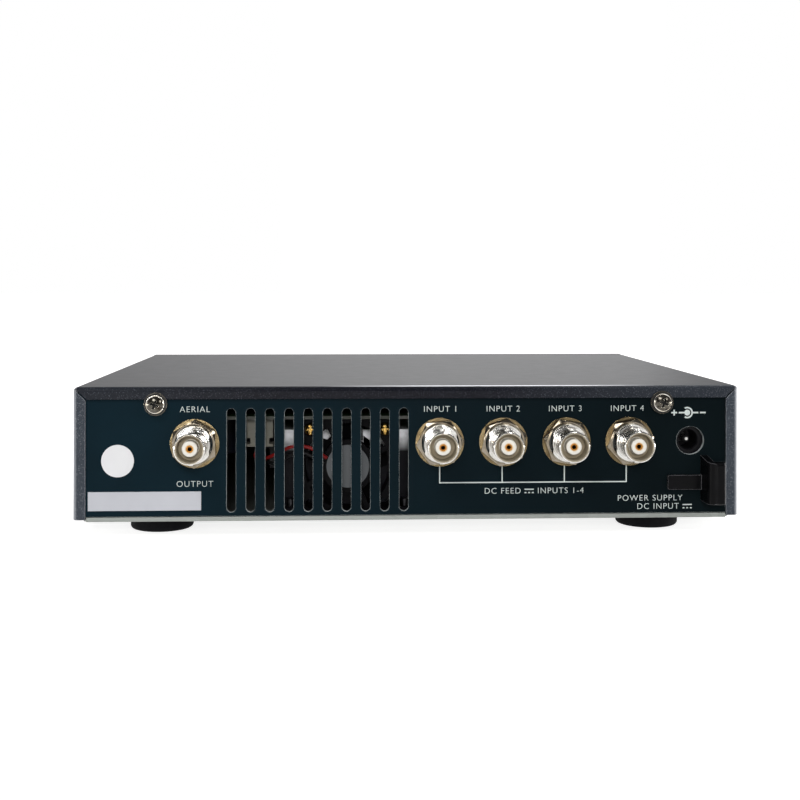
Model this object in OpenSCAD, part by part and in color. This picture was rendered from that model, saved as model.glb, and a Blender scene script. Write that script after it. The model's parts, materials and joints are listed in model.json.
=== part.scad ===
// Antenna combiner in a half-rack case: five bayonet jacks, a DC inlet, a cable hook and an exhaust fan.
// Millimetres, +Z up. The connector panel faces -Y and the front panel faces +Y.

/* [Case] */
// Width over the cover
case_w = 213; // [208:1:240]
// Depth from the rear flange to the front panel's face
case_d = 168; // [160:1:220]
// Height of the cover from its lower edge to its top
cover_h = 42; // [41:0.5:55]
// Thickness of the cover's sheet
cover_t = 1; // [0.8:0.1:1.2]
// Outside radius of the cover's bends
cover_r = 1.6; // [1.4:0.1:2.4]
// Width of the rear flange that is folded inward
flange_w = 3.95; // [3:0.05:5]
// Width of the slit at the flange's mitred corners
mitre_gap = 0.45; // [0.2:0.05:0.8]
// Height of the cover's lower edge above the pan's underside
cover_lift = 0.6; // [0.2:0.1:1.2]

/* [Pan and panels] */
// Thickness of the base pan's sheet
pan_t = 1.4; // [1:0.1:2]
// Height of the pan's turned-up sides
pan_wall_h = 12; // [11:1:20]
// Distance of the turned-up sides from the front panel and from the rear flange
pan_wall_inset = 8; // [6:1:20]
// Thickness of the rear panel
panel_t = 1.2; // [0.8:0.1:2]
// Width of the rear panel's fixing tabs
tab_w = 14; // [10:1:18]
// Depth of the rear panel's fixing tabs
tab_d = 10; // [9:1:14]
// Distance of the outer tabs' centres from the case's sides
tab_inset = 14; // [12:1:20]
// Thickness of the front panel
front_t = 3; // [2:0.5:5]
// Radius of the front panel's edges
front_r = 1.2; // [0.6:0.1:2]
// Depth of the front panel's rim inside the cover
rim_d = 5; // [3:0.5:6]
// Thickness of that rim
rim_t = 2; // [1.5:0.1:3]
// Distance of the front panel's lugs from the middle
front_lug_x = 52; // [40:1:58]
// Side of the front panel's lugs
front_lug = 9; // [8:0.5:11]

/* [Feet] */
// Height of the rubber feet
foot_h = 5.2; // [4:0.1:10]
// Diameter of the feet
foot_d = 20.5; // [16:0.5:22]
// Distance of the feet's centres from the case's sides
foot_inset_x = 25.5; // [22:0.5:32]
// Distance of the feet's centres from the rear flange and from the front face
foot_inset_y = 18.5; // [17:0.5:22]
// Radius of the feet's lower edge
foot_edge = 1.2; // [0.5:0.1:2]

/* [Screws] */
// Radius of the screws' shanks
screw_r = 1.5; // [1.25:0.05:1.6]
// Radius of the screws' heads
head_r = 2.6; // [2.4:0.1:3]
// Height of the screws' heads
head_h = 1.9; // [1.5:0.1:2.2]
// Height of the low heads under the pan
low_head_h = 0.9; // [0.7:0.1:1.2]
// Mean distance of the rear cover screws from the case's sides
cover_screw_inset = 25.5; // [20:0.1:40]
// How far the rear cover screws lie to the right of their mean places
cover_screw_shift = 0.5; // [-1:0.1:1]
// Distance of the rear cover screws below the cover's top
cover_screw_drop = 5.4; // [5:0.1:6]
// Radius of the rear cover screws' washers
washer_r = 3.65; // [3.4:0.05:4]
// Thickness of the rear cover screws' washers
washer_t = 0.6; // [0.4:0.1:1]
// Distance of the side screws from the two ends of the case
side_screw_inset = 46; // [40:1:60]
// Height of the side screws above the pan's underside
side_screw_h = 7; // [6:0.5:8]

/* [Vent slots] */
// Number of slots
slot_count = 10; // [4:1:10]
// Distance between slots
slot_pitch = 6.11; // [5:0.01:6.3]
// Width of a slot
slot_w = 2.9; // [2:0.1:3.5]
// Length of a slot
slot_h = 33; // [24:0.5:34]
// Height of the slots' lower ends above the cover's lower edge
slot_low = 2; // [1.8:0.1:3]
// Distance of the middle of the slots from the first input jack
vent_gap = 39; // [38:0.1:42]

/* [Bayonet jacks] */
// How far the jacks stand out of the panel
jack_reach = 15; // [13:0.1:18]
// Height of the circuit board's underside above the jacks' axes
jack_drop = 7.2; // [6.6:0.1:8]
// Distance of the output jack from the middle of the slots
out_gap = 39; // [38:0.1:44]
// Distance of the last input jack from the DC inlet
inlet_gap = 19.95; // [17:0.05:22]
// Distance between input jacks
in_pitch = 20.45; // [18:0.05:21]
// Outside radius of the barrel
barrel_r = 4.83; // [4.7:0.01:5]
// Inside radius of the barrel
barrel_bore_r = 4.05; // [3.9:0.01:4.2]
// Width of the bevels at the barrel's mouth
barrel_bevel = 0.3; // [0.1:0.05:0.35]
// Radius of the shoulder behind the barrel
shoulder_r = 5.35; // [5.2:0.05:5.6]
// Thickness of that shoulder
shoulder_t = 1.2; // [0.8:0.1:1.6]
// Depth of the relief between the barrel and the shoulder
relief = 0.35; // [0.2:0.05:0.45]
// Radius to the outer ends of the bayonet lugs
lug_r = 5.5; // [5.3:0.05:5.8]
// Diameter of the bayonet lugs
lug_d = 1.9; // [1.5:0.1:2.2]
// Distance of the lugs behind the barrel's front
lug_back = 4.8; // [4:0.1:6]
// Radius of the threaded neck
neck_r = 5.95; // [5.8:0.05:6.3]
// Distance of the neck's two flats from its axis
neck_flat = 5; // [4.8:0.05:5.4]
// How far the threaded neck stands out of the panel
neck_out = 4.9; // [4.4:0.1:6]
// Width of the hex nuts across their flats
nut_af = 13.4; // [13:0.1:15]
// Thickness of the hex nuts
nut_t = 2.5; // [2:0.1:2.8]
// Radius of the toothed lock washers
lock_r = 7.8; // [7.6:0.1:8.4]
// Thickness of the lock washers
lock_t = 0.6; // [0.4:0.1:0.9]
// Number of notches round a lock washer's bore
lock_notches = 18; // [10:1:24]
// Radius of those notches
notch_r = 0.5; // [0.3:0.05:0.6]
// Radius of the insulator's nose
nose_r = 2.45; // [2.2:0.05:2.7]
// Distance of the insulator's nose behind the barrel's front
nose_back = 1.4; // [0.8:0.1:3]
// Distance of the insulator's wide seat behind the barrel's front
seat_back = 5; // [4:0.1:8]
// Outside radius of the centre contact
contact_r = 1.05; // [0.95:0.05:1.2]
// Inside radius of the centre contact
contact_bore_r = 0.68; // [0.6:0.01:0.75]
// Depth of the centre contact's bore
contact_bore = 5; // [4:0.5:6]
// Width of the jacks' body behind the panel
block_w = 14; // [13:0.5:15]
// Depth of the jacks' body behind the panel
block_d = 8; // [6:0.5:12]
// Distance of the body's lower face below the jack's axis
block_low = 6.5; // [6:0.5:7.5]

/* [DC inlet] */
// Distance of the inlet from the right side of the case
dc_inset = 15.5; // [14:0.1:17]
// Height of the circuit board's underside above the inlet's axis
dc_drop = 7.1; // [6.6:0.1:8]
// Radius of the hole in the panel
dc_hole_r = 4.5; // [4:0.1:5]
// Distance of the inlet's face behind the panel's inner face
dc_back = 1.1; // [0.5:0.1:2]
// Radius of the socket
dc_socket_r = 3.1; // [2.9:0.05:3.3]
// Depth of the socket
dc_socket = 9.7; // [8:0.1:11]
// Radius of the centre pin
dc_pin_r = 1.05; // [0.9:0.05:1.25]
// Distance of the pin's tip behind the inlet's face
dc_pin_back = 1.9; // [1:0.1:3]
// Width of the inlet's body
dc_body_w = 9.4; // [9:0.1:10]
// Depth of the inlet's body
dc_body_d = 14; // [12.5:0.5:16]
// Distance of the body's lower face below the inlet's axis
dc_body_low = 5.4; // [4.6:0.1:5.8]

/* [Cable hook] */
// Distance of the lip's free edge from the right side of the case
hook_inset = 7.05; // [6:0.05:7.5]
// Width over the post and the lip
hook_w = 5.05; // [4.6:0.05:5.5]
// How far the post stands out of the panel
hook_reach = 10; // [8:0.1:13]
// Thickness of the post
hook_wall = 2.2; // [2:0.1:2.6]
// Thickness of the lip
hook_lip = 2.4; // [2:0.1:2.8]
// Height of the post
hook_h = 13.2; // [12:0.1:13.4]
// Rise of the hook's top from its lip to the panel
hook_rise = 1.5; // [0.5:0.1:2]
// Height of the post's lower end above the cover's lower edge
hook_low = 4.8; // [4:0.1:5.1]
// Radius of the post's outer corner
hook_round = 3; // [1.5:0.1:3.2]
// Length of the tongue that lies on the panel
tongue_len = 11; // [8:0.1:12]
// Width of the tongue
tongue_w = 4.7; // [4:0.1:5]
// Thickness of the tongue
tongue_t = 1.4; // [1:0.1:2]
// Height of the tongue's lower edge above the post's lower end
tongue_low = 3.6; // [2:0.1:4]

/* [Fan] */
// Side of the fan's square frame
fan_size = 30; // [28:0.5:31]
// Thickness of the fan
fan_t = 10; // [9.5:0.1:12]
// Distance between the fan's screw holes
fan_pitch = 24; // [23.6:0.1:24.4]
// Radius of the fan's air way
fan_bore_r = 13.9; // [13.4:0.1:14]
// Radius to the tips of the blades
blade_tip_r = 13.1; // [12:0.1:13.1]
// Number of blades
blade_count = 5; // [5:1:7]
// Turn of the blades at rest
blade_turn = 54; // [0:1:72]
// Thickness of a blade
blade_t = 0.8; // [0.6:0.05:1]
// Radius of the rotor's hub
hub_r = 8.2; // [8:0.05:8.6]
// Radius of the motor plate that the struts carry
plate_r = 8.6; // [8.4:0.1:9]
// Thickness of the motor plate and its struts
plate_t = 1.5; // [1.3:0.1:1.6]
// Radius of the fan's shaft
shaft_r = 0.75; // [0.6:0.05:0.9]
// Distance of the fan behind the rear panel
fan_gap = 2.8; // [2.6:0.1:4]
// Distance of the fan's axis to the right of the middle of the slots
fan_offset = 9.6; // [9:0.1:10]
// Space between the top of the fan and the circuit board
fan_headroom = 0.4; // [0.1:0.1:1]
// Thickness of the fan's bracket
bracket_t = 1.2; // [1:0.1:2]
// Height of the bracket's plate
wing_h = 25.6; // [25.2:0.1:27]
// Radius of the bracket's air opening
bracket_bore_r = 10; // [8:0.1:10.8]
// Width of the bracket's two ears behind the upper fan screws
ear_w = 6; // [5:0.1:6]
// Radius of the fan screws' heads
fan_head_r = 2.1; // [1.9:0.1:2.6]
// Distance of the leads' plug to the left of the fan's axis
plug_offset = 28.6; // [27.5:0.1:30]
// Distance of the leads' plug behind the fan's rear face
plug_back = 7; // [6:0.5:9]
// Diameter of the fan's leads
lead_d = 1.2; // [0.8:0.1:1.2]

/* [Heat sink] */
// Width of the heat sink and of the fan's bracket
sink_w = 44; // [42:0.5:45]
// Height of the heat sink
sink_h = 25.4; // [22:0.1:27]
// Depth of the heat sink
sink_d = 50; // [40:1:60]
// Thickness of the heat sink's base
sink_base = 5; // [4:0.5:7]
// Thickness of the two outer fins
outer_fin_t = 4; // [3.5:0.1:5]
// Number of inner fins
fin_count = 7; // [3:1:8]
// Thickness of an inner fin
fin_t = 1.6; // [1:0.1:2]

/* [Circuit board] */
// Thickness of the board
board_t = 1; // [0.8:0.1:1.6]
// Distance of the board's long sides from the case's sides
board_inset_x = 8; // [7:0.5:9]
// Distance of the board's front edge from the front panel's face
board_inset_front = 16; // [15:0.5:17]
// Distance of the standoffs from the case's sides
post_inset_x = 16; // [14:0.5:20]
// Distance of the rear standoffs from the rear flange
post_rear = 36; // [34:1:40]
// Distance of the front standoffs from the front face
post_front = 40; // [36:1:44]
// Width of the standoffs across their flats
post_af = 6; // [5.5:0.1:7]
// Width of a filter can
can_w = 11; // [9:0.5:14]
// Depth of a filter can
can_d = 15; // [10:0.5:18]
// Height of a filter can
can_h = 13; // [9:0.5:15]
// Distance of the filter cans from the rear flange
can_y = 24; // [22:0.5:30]
// Radius of a capacitor
cap_r = 5; // [4:0.1:6]
// Height of a capacitor
cap_h = 16; // [12:0.5:20]
// Distance of the capacitors' axes in front of the filter cans' rear faces
cap_gap = 20; // [16:0.5:30]
// Half of the space between the capacitors
cap_space = 1.3; // [0.5:0.1:3]

/* [Power button] */
// Distance of the button from the right side of the case
button_inset = 26; // [24:0.5:28]
// Width of the button
button_w = 10; // [8:0.5:11]
// Height of the button
button_h = 7; // [6:0.5:8]
// How far the button stands out of the front panel
button_proud = 3.2; // [2.8:0.1:4]
// How far the button travels
button_travel = 2.4; // [1.5:0.1:2.5]
// Width of the switch
switch_w = 8.5; // [8:0.1:9]
// Length of the switch
switch_l = 14; // [12:0.5:15]
// Distance of the lamp from the button
led_gap = 15; // [12:0.5:20]
// Radius of the lamp
led_r = 1.5; // [1.2:0.05:2]
// How far the lamp stands out of the front panel
led_proud = 0.8; // [0.4:0.1:1.5]

/* [Fits] */
// Gap between parts that slide or lie beside each other
side_gap = 0.3; // [0.25:0.05:0.5]
// Gap round a part that is pressed or screwed in
press_gap = 0.05; // [0.03:0.01:0.08]
// Gap round a screw that passes through
hole_gap = 0.2; // [0.1:0.05:0.3]
// Gap between the fan's shaft and its bearing
shaft_gap = 0.03; // [0.02:0.01:0.06]

/* [Hidden] */
$fn = 64;
// How far a cutting tool reaches past the face that it cuts
past = 1;
// How far joined shapes of one piece run into each other
join = 0.5;

// Heights and depths of the sheets
half_w = case_w / 2;
pan_z0 = foot_h;
pan_z1 = pan_z0 + pan_t;
cover_z0 = pan_z0 + cover_lift;
cover_z1 = cover_z0 + cover_h;
bend_in = cover_r - cover_t;
bend_gap = 0.3 * bend_in + 0.12;
panel_gap = bend_in + 0.2;
panel_y0 = cover_t;
panel_y1 = panel_y0 + panel_t;
panel_half_w = half_w - cover_t - panel_gap;
panel_z1 = cover_z1 - cover_t - panel_gap;
front_y0 = case_d - front_t;
cover_y1 = front_y0 - side_gap;
pan_half_w = half_w - cover_t - side_gap;
tongue_half_w = half_w - flange_w - side_gap;

// Board, jacks and fan hang on the fan's height
board_z0 = pan_z1 + fan_size + fan_headroom;
board_z1 = board_z0 + board_t;
board_half_w = half_w - board_inset_x;
board_y0 = panel_y1 + 1;
board_y1 = case_d - board_inset_front;
jack_z = board_z0 - jack_drop;
dc_z = board_z0 - dc_drop;
dc_x = half_w - dc_inset;
in_xs = [for (i = [3:-1:0]) dc_x - inlet_gap - i * in_pitch];
vent_x = in_xs[0] - vent_gap;
out_x = vent_x - out_gap;
fan_x = vent_x + fan_offset;
fan_y0 = panel_y1 + fan_gap;
fan_z = pan_z1 + fan_size / 2;
bracket_y0 = fan_y0 + fan_t;
sink_y0 = bracket_y0 + bracket_t + side_gap;
header_x = fan_x - plug_offset;
header_y = fan_y0 + plug_back;

// The origin lies under the middle of the whole outline
rear_end = panel_y0 - max(jack_reach, hook_reach);
front_end = case_d + max(button_proud, led_proud);
frame_y = -(rear_end + front_end) / 2;

// Places of repeated pieces
sides = [-1, 1];
jack_xs = concat([out_x], in_xs);
jack_names = ["out", "in_1", "in_2", "in_3", "in_4"];
nut_turns = [30, 5, 20, 50, 12];
foot_names = ["foot_rear_left", "foot_rear_right", "foot_front_left", "foot_front_right"];
foot_ys = [foot_inset_y, case_d - foot_inset_y];
foot_spots = [for (y = foot_ys) for (s = sides) [s * (half_w - foot_inset_x), y]];
post_ys = [post_rear, case_d - post_front];
post_spots = [for (y = post_ys) for (s = sides) [s * (half_w - post_inset_x), y]];
tab_xs = [-half_w + tab_inset, (in_xs[0] + in_xs[3]) / 2, half_w - tab_inset];
tab_spots = [for (x = tab_xs) [x, panel_y1 + tab_d / 2]];
lug_spots = [for (s = sides) [s * front_lug_x, front_y0 - front_lug / 2]];
wing_w = (sink_w - fan_size) / 2 - side_gap;
wing_d = 8;
wing_spots = [for (s = sides) [fan_x + s * (sink_w - wing_w) / 2, bracket_y0 - wing_d / 2]];
sink_spots = [for (f = [0.25, 0.75]) [fan_x, sink_y0 + f * sink_d]];
pan_holes = concat(post_spots, tab_spots, lug_spots, wing_spots, sink_spots);
fan_corners = [for (b = sides) for (a = sides) [a * fan_pitch / 2, b * fan_pitch / 2]];
fan_screw_corners = [fan_corners[2], fan_corners[3]];
side_screw_ys = [side_screw_inset, case_d - side_screw_inset];
side_screw_z = pan_z0 + side_screw_h;
cover_screw_z = cover_z1 - cover_screw_drop;
cover_screw_xs = [for (s = sides) s * (half_w - cover_screw_inset) + cover_screw_shift];
regulator_ys = [sink_y0 + 0.3 * sink_d, sink_y0 + 0.7 * sink_d];
cap_xs = [for (s = sides) out_x + s * (cap_r + cap_space)];
cap_y = can_y + cap_gap;
button_x = half_w - button_inset;
button_z = board_z0 - switch_w / 2;
led_x = button_x - led_gap;

// Lengths of the screws
spring_r = head_r + 0.3;
spring_t = 0.8;
cover_screw_end = 0.6;
cover_screw_len = washer_t + spring_t + panel_y1 + cover_screw_end;
side_screw_len = 5;
foot_screw_len = 7;
pan_screw_len = 5;
fan_screw_len = fan_t + bracket_t;

// Header on the board, and the plug that hangs under it
header_w = 8.5;
header_d = 5.8;
header_h = 4;
plug_h = 5.5;
plug_z0 = board_z0 - header_h - plug_h;

// Routes of the fan's two leads about the fan's rear face, from the plug to the motor plate
lead_apart = 2.2;
lead_drop = 1.4;
red_x = -plug_offset - lead_apart / 2;
black_x = -plug_offset + lead_apart / 2;
plug_low = plug_z0 - fan_z - 0.2;
lead_red_route = [
    [red_x, plug_back, plug_low], [red_x, plug_back, plug_low - lead_drop],
    [-30.3, 6.2, 2.7], [-29.5, 4.4, 1.6], [-27.3, 2.6, 2],
    [-24.3, 0.8, 3.4], [-21.3, -0.6, 5.2], [-18.3, -1.3, 6.5], [-15.3, -1.4, 6.9], [-12.3, -1.4, 6.3],
    [-9.9, -1.3, 5], [-7.9, -1, 3.6], [-6.8, -0.75, 2.8]
];
lead_black_route = [
    [black_x, plug_back, plug_low], [black_x, plug_back, plug_low - lead_drop],
    [-26.9, 5.6, 1.9], [-25.5, 3.6, 0.6], [-23.5, 1.6, 1],
    [-21.3, 0, 2.2], [-18.7, -1.1, 3.8], [-15.9, -1.4, 4.8], [-13.3, -1.4, 4.4],
    [-10.9, -1.3, 3], [-8.9, -1, 1.6], [-7.8, -0.75, 0.8]
];

// Extrusions along the three axes: the outline is drawn in the other two, in the order X, Y, Z
module along_x(x0, x1) {
    translate([x0, 0, 0]) rotate([90, 0, 90]) linear_extrude(x1 - x0) children();
}
module along_y(y0, y1) {
    translate([0, y1, 0]) rotate([90, 0, 0]) linear_extrude(y1 - y0) children();
}
module along_z(z0, z1) {
    translate([0, 0, z0]) linear_extrude(z1 - z0) children();
}

// A profile of radius and depth turned about the Y axis
module turned() {
    rotate([-90, 0, 0]) rotate_extrude() children();
}
module y_rod(r, y0, y1) {
    translate([0, y0, 0]) rotate([-90, 0, 0]) cylinder(r = r, h = y1 - y0);
}

// A hole drilled upward at a spot, from below a face through a given depth
module z_hole(spot, r, z0, depth) {
    translate([spot[0], spot[1], z0 - past]) cylinder(r = r, h = depth + past);
}

// A rectangle given by its two corners
module span_2d(u0, v0, u1, v1) {
    translate([u0, v0]) square([u1 - u0, v1 - v0]);
}

// A rectangle whose corners are all round
module round_rect(u0, v0, u1, v1, r) {
    span_2d(u0 + r, v0, u1 - r, v1);
    span_2d(u0, v0 + r, u1, v1 - r);
    for (u = [u0 + r, u1 - r])
        for (v = [v0 + r, v1 - r])
            translate([u, v]) circle(r);
}

// A box whose top, rear and upright rear edges are round, as a folded sheet's are
module folded_box(w, z0, z1, y0, y1, r) {
    intersection() {
        along_y(y0, y1) {
            span_2d(-w / 2, z0, w / 2, z1 - r);
            span_2d(-w / 2 + r, z0, w / 2 - r, z1);
            for (s = sides) translate([s * (w / 2 - r), z1 - r]) circle(r);
        }
        along_x(-w / 2, w / 2) {
            span_2d(y0, z0, y1, z1 - r);
            span_2d(y0 + r, z0, y1, z1);
            translate([y0 + r, z1 - r]) circle(r);
        }
        along_z(z0, z1) {
            span_2d(-w / 2, y0 + r, w / 2, y1);
            span_2d(-w / 2 + r, y0, w / 2 - r, y1);
            for (s = sides) translate([s * (w / 2 - r), y0 + r]) circle(r);
        }
    }
}

// A domed screw with a cross recess: its head stands up from z = 0 and its shank hangs below
module cross_screw(len, r = head_r, h = head_h) {
    dome_h = 0.55 * h;
    dome_r = (r * r + dome_h * dome_h) / (2 * dome_h);
    difference() {
        union() {
            rotate_extrude() intersection() {
                translate([0, h - dome_r]) circle(dome_r);
                square([r, h]);
            }
            translate([0, 0, -len]) cylinder(r = screw_r, h = len + h / 4);
        }
        for (turn = [0, 90])
            rotate([0, 0, turn])
                translate([-0.55 * r, -0.14 * r, 0.4 * h])
                    cube([1.1 * r, 0.28 * r, h]);
    }
}
module screws_from_below(spots, len) {
    for (p = spots) translate([p[0], p[1], pan_z0]) rotate([180, 0, 0]) cross_screw(len, h = low_head_h);
}

// A tube swept along a list of points
function unit(v) = v / norm(v);
function heading(path, i) = unit(path[min(i + 1, len(path) - 1)] - path[max(i - 1, 0)]);
function ring(path, i, r, n) =
    let (t = heading(path, i), side = unit(cross(t, [0.3, 0.9, 0.2])), up = cross(side, t))
    [for (k = [0:n - 1]) path[i] + r * (cos(360 * k / n) * side + sin(360 * k / n) * up)];
module swept_tube(path, r, n = 8) {
    rings = len(path);
    points = [for (i = [0:rings - 1]) each ring(path, i, r, n)];
    walls = [
        for (i = [0:rings - 2]) for (k = [0:n - 1])
            let (a = i * n + k, b = i * n + (k + 1) % n)
            each [[a, b, b + n], [a, b + n, a + n]]
    ];
    first_cap = [for (k = [n - 1:-1:0]) k];
    last_cap = [for (k = [0:n - 1]) (rings - 1) * n + k];
    polyhedron(points, concat(walls, [first_cap, last_cap]));
}

// Base pan: a flat sheet with a tongue that shows under the rear panel, and two turned-up sides
module base_pan() {
    wall_y1 = front_y0 - pan_wall_inset;
    sheet_r = pan_t + 0.6;
    color("#aab3ad") difference() {
        union() {
            along_z(pan_z0, pan_z1) {
                span_2d(-tongue_half_w, 0, tongue_half_w, front_y0);
                span_2d(-pan_half_w + sheet_r, panel_y0 + side_gap, pan_half_w - sheet_r, front_y0);
            }
            along_y(pan_wall_inset, wall_y1) difference() {
                union() {
                    span_2d(-pan_half_w, pan_z0 + sheet_r, pan_half_w, pan_z0 + pan_wall_h);
                    span_2d(-pan_half_w + sheet_r, pan_z0, pan_half_w - sheet_r, pan_z0 + pan_wall_h);
                    for (s = sides) translate([s * (pan_half_w - sheet_r), pan_z0 + sheet_r]) circle(sheet_r);
                }
                span_2d(-pan_half_w + pan_t, pan_z1, pan_half_w - pan_t, pan_z0 + pan_wall_h + past);
            }
        }
        for (p = pan_holes)
            z_hole(p, screw_r + hole_gap, pan_z0, pan_t + past);
        for (p = foot_spots)
            z_hole(p, screw_r + press_gap, pan_z0, pan_t + past);
        for (y = side_screw_ys)
            translate([-half_w, y, side_screw_z])
                rotate([0, 90, 0]) cylinder(r = screw_r + press_gap, h = case_w);
    }
}

// Rear panel: slots, jack holes with two flats, the inlet's hole, and fixing tabs along its lower edge
module rear_panel() {
    color("#12232a") difference() {
        union() {
            along_y(panel_y0, panel_y1) span_2d(-panel_half_w, pan_z1, panel_half_w, panel_z1);
            for (x = tab_xs)
                along_z(pan_z1, pan_z1 + panel_t)
                    span_2d(x - tab_w / 2, panel_y0, x + tab_w / 2, panel_y1 + tab_d);
        }
        along_y(panel_y0 - past, panel_y1 + past) {
            for (i = [0:slot_count - 1]) {
                x = vent_x + (i - (slot_count - 1) / 2) * slot_pitch;
                z0 = cover_z0 + slot_low + slot_w / 2;
                z1 = cover_z0 + slot_low + slot_h - slot_w / 2;
                span_2d(x - slot_w / 2, z0, x + slot_w / 2, z1);
                for (z = [z0, z1]) translate([x, z]) circle(slot_w / 2);
            }
            for (x = jack_xs) translate([x, jack_z]) neck_2d(2 * press_gap);
            translate([dc_x, dc_z]) circle(dc_hole_r);
            for (p = hook_pegs) translate(p) circle(peg_r + press_gap);
            for (x = cover_screw_xs) translate([x, cover_screw_z]) circle(screw_r + press_gap);
        }
        for (p = tab_spots)
            z_hole(p, screw_r + press_gap, pan_z1, panel_t + past);
    }
}

// Front panel: a plate with round edges, a rim inside the cover and two lugs on the pan
module front_panel() {
    rim_half_w = half_w - cover_t - bend_gap;
    rim_z0 = pan_z1 + side_gap;
    rim_z1 = cover_z1 - cover_t - bend_gap;
    lug_half = front_lug / 2;
    color("#202226") difference() {
        union() {
            rotate([0, 0, 180]) folded_box(case_w, pan_z0, cover_z1, -case_d, -front_y0, front_r);
            along_y(front_y0 - rim_d, front_y0 + join) difference() {
                span_2d(-rim_half_w, rim_z0, rim_half_w, rim_z1);
                span_2d(-rim_half_w + rim_t, rim_z0 - past, rim_half_w - rim_t, rim_z1 - rim_t);
            }
            for (p = lug_spots)
                along_z(pan_z1, pan_z1 + front_lug)
                    span_2d(p[0] - lug_half, p[1] - lug_half, p[0] + lug_half, front_y0 + join);
        }
        along_y(front_y0 - past, case_d + past) {
            translate([button_x, button_z])
                square([button_w + 2 * side_gap, button_h + 2 * side_gap], center = true);
            translate([led_x, button_z]) circle(led_r + press_gap);
        }
        for (p = lug_spots)
            z_hole(p, screw_r + press_gap, pan_z1, pan_screw_len);
    }
}

// Top cover: one folded sheet, with its rear flange slit at the mitres and two ears for the rear screws
module top_cover() {
    inner_w = case_w - 2 * cover_t;
    mitre_len = (flange_w - 0.5 * cover_r) * sqrt(2);
    color("#3c3d45") difference() {
        union() {
            difference() {
                folded_box(case_w, cover_z0, cover_z1, 0, cover_y1, cover_r);
                folded_box(inner_w, cover_z0 - past, cover_z1 - cover_t, cover_t, cover_y1 + past, bend_in);
                along_y(-past, cover_t + past)
                    span_2d(-half_w + flange_w, cover_z0 - past, half_w - flange_w, cover_z1 - flange_w);
                for (s = sides)
                    translate([s * (half_w - flange_w), 0, cover_z1 - flange_w])
                        rotate([0, s > 0 ? -45 : -135, 0])
                            translate([-past, -past, -mitre_gap / 2])
                                cube([mitre_len + past, past + cover_t, mitre_gap]);
            }
            at_cover_screws() y_rod(washer_r - 0.1, 0, cover_t);
        }
        at_cover_screws() y_rod(screw_r + hole_gap, -past, cover_t + past);
        for (y = side_screw_ys)
            translate([-half_w - past, y, side_screw_z])
                rotate([0, 90, 0]) cylinder(r = screw_r + hole_gap, h = case_w + 2 * past);
    }
}

// Rubber foot: a turned disc with a round lower edge and a recess for its screw
module foot(spot) {
    recess_r = head_r + 1;
    recess_h = head_h + 0.8;
    color("#141416") translate([spot[0], spot[1], 0]) difference() {
        rotate_extrude() {
            span_2d(0, foot_edge, foot_d / 2, foot_h);
            span_2d(0, 0, foot_d / 2 - foot_edge, foot_h);
            translate([foot_d / 2 - foot_edge, foot_edge]) intersection() {
                circle(foot_edge);
                translate([0, -foot_edge]) square(foot_edge * 2);
            }
        }
        translate([0, 0, -past]) cylinder(r = recess_r, h = recess_h + past);
        translate([0, 0, -past]) cylinder(r = screw_r + hole_gap, h = foot_h + 2 * past);
    }
}
module foot_screws() {
    color("#b9b7ae")
        for (p = foot_spots)
            translate([p[0], p[1], head_h + 0.8]) rotate([180, 0, 0]) cross_screw(foot_screw_len);
}

// Rear cover screws, each over a split spring washer and a flat washer
module at_cover_screws() {
    for (x = cover_screw_xs) translate([x, 0, cover_screw_z]) children();
}
module cover_screws() {
    color("#c9c4b4") at_cover_screws()
        translate([0, -washer_t - spring_t, 0]) rotate([90, 20, 0]) cross_screw(cover_screw_len);
}
module cover_washers() {
    color("#b5b1a4") at_cover_screws() difference() {
        y_rod(washer_r, -washer_t, 0);
        y_rod(screw_r + hole_gap, -washer_t - past, past);
    }
}
module cover_spring_washers() {
    split = 0.4;
    color("#aaa698") at_cover_screws() translate([0, -washer_t - spring_t, 0]) difference() {
        y_rod(spring_r, 0, spring_t);
        y_rod(screw_r + hole_gap, -past, spring_t + past);
        rotate([0, 25, 0]) translate([0, -past, -split / 2])
            cube([spring_r + past, spring_t + 2 * past, split]);
    }
}
module side_screws() {
    color("#1b1b1d")
        for (s = sides)
            for (y = side_screw_ys)
                translate([s * half_w, y, side_screw_z]) rotate([0, s * 90, 0]) cross_screw(side_screw_len);
}
module pan_screws() {
    color("#b9b7ae") {
        screws_from_below(concat(tab_spots, lug_spots, wing_spots, sink_spots), pan_screw_len);
        for (y = regulator_ys)
            translate([fan_x - sink_w / 2 - regulator_tab_t, y, regulator_screw_z])
                rotate([0, -90, 0]) cross_screw(pan_screw_len);
    }
}

// Outline of a jack's threaded neck: a circle with two flats
module neck_2d(gap = 0) {
    intersection() {
        circle(neck_r + gap);
        square([2 * (neck_flat + gap), 2 * (neck_r + gap + past)], center = true);
    }
}

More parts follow.
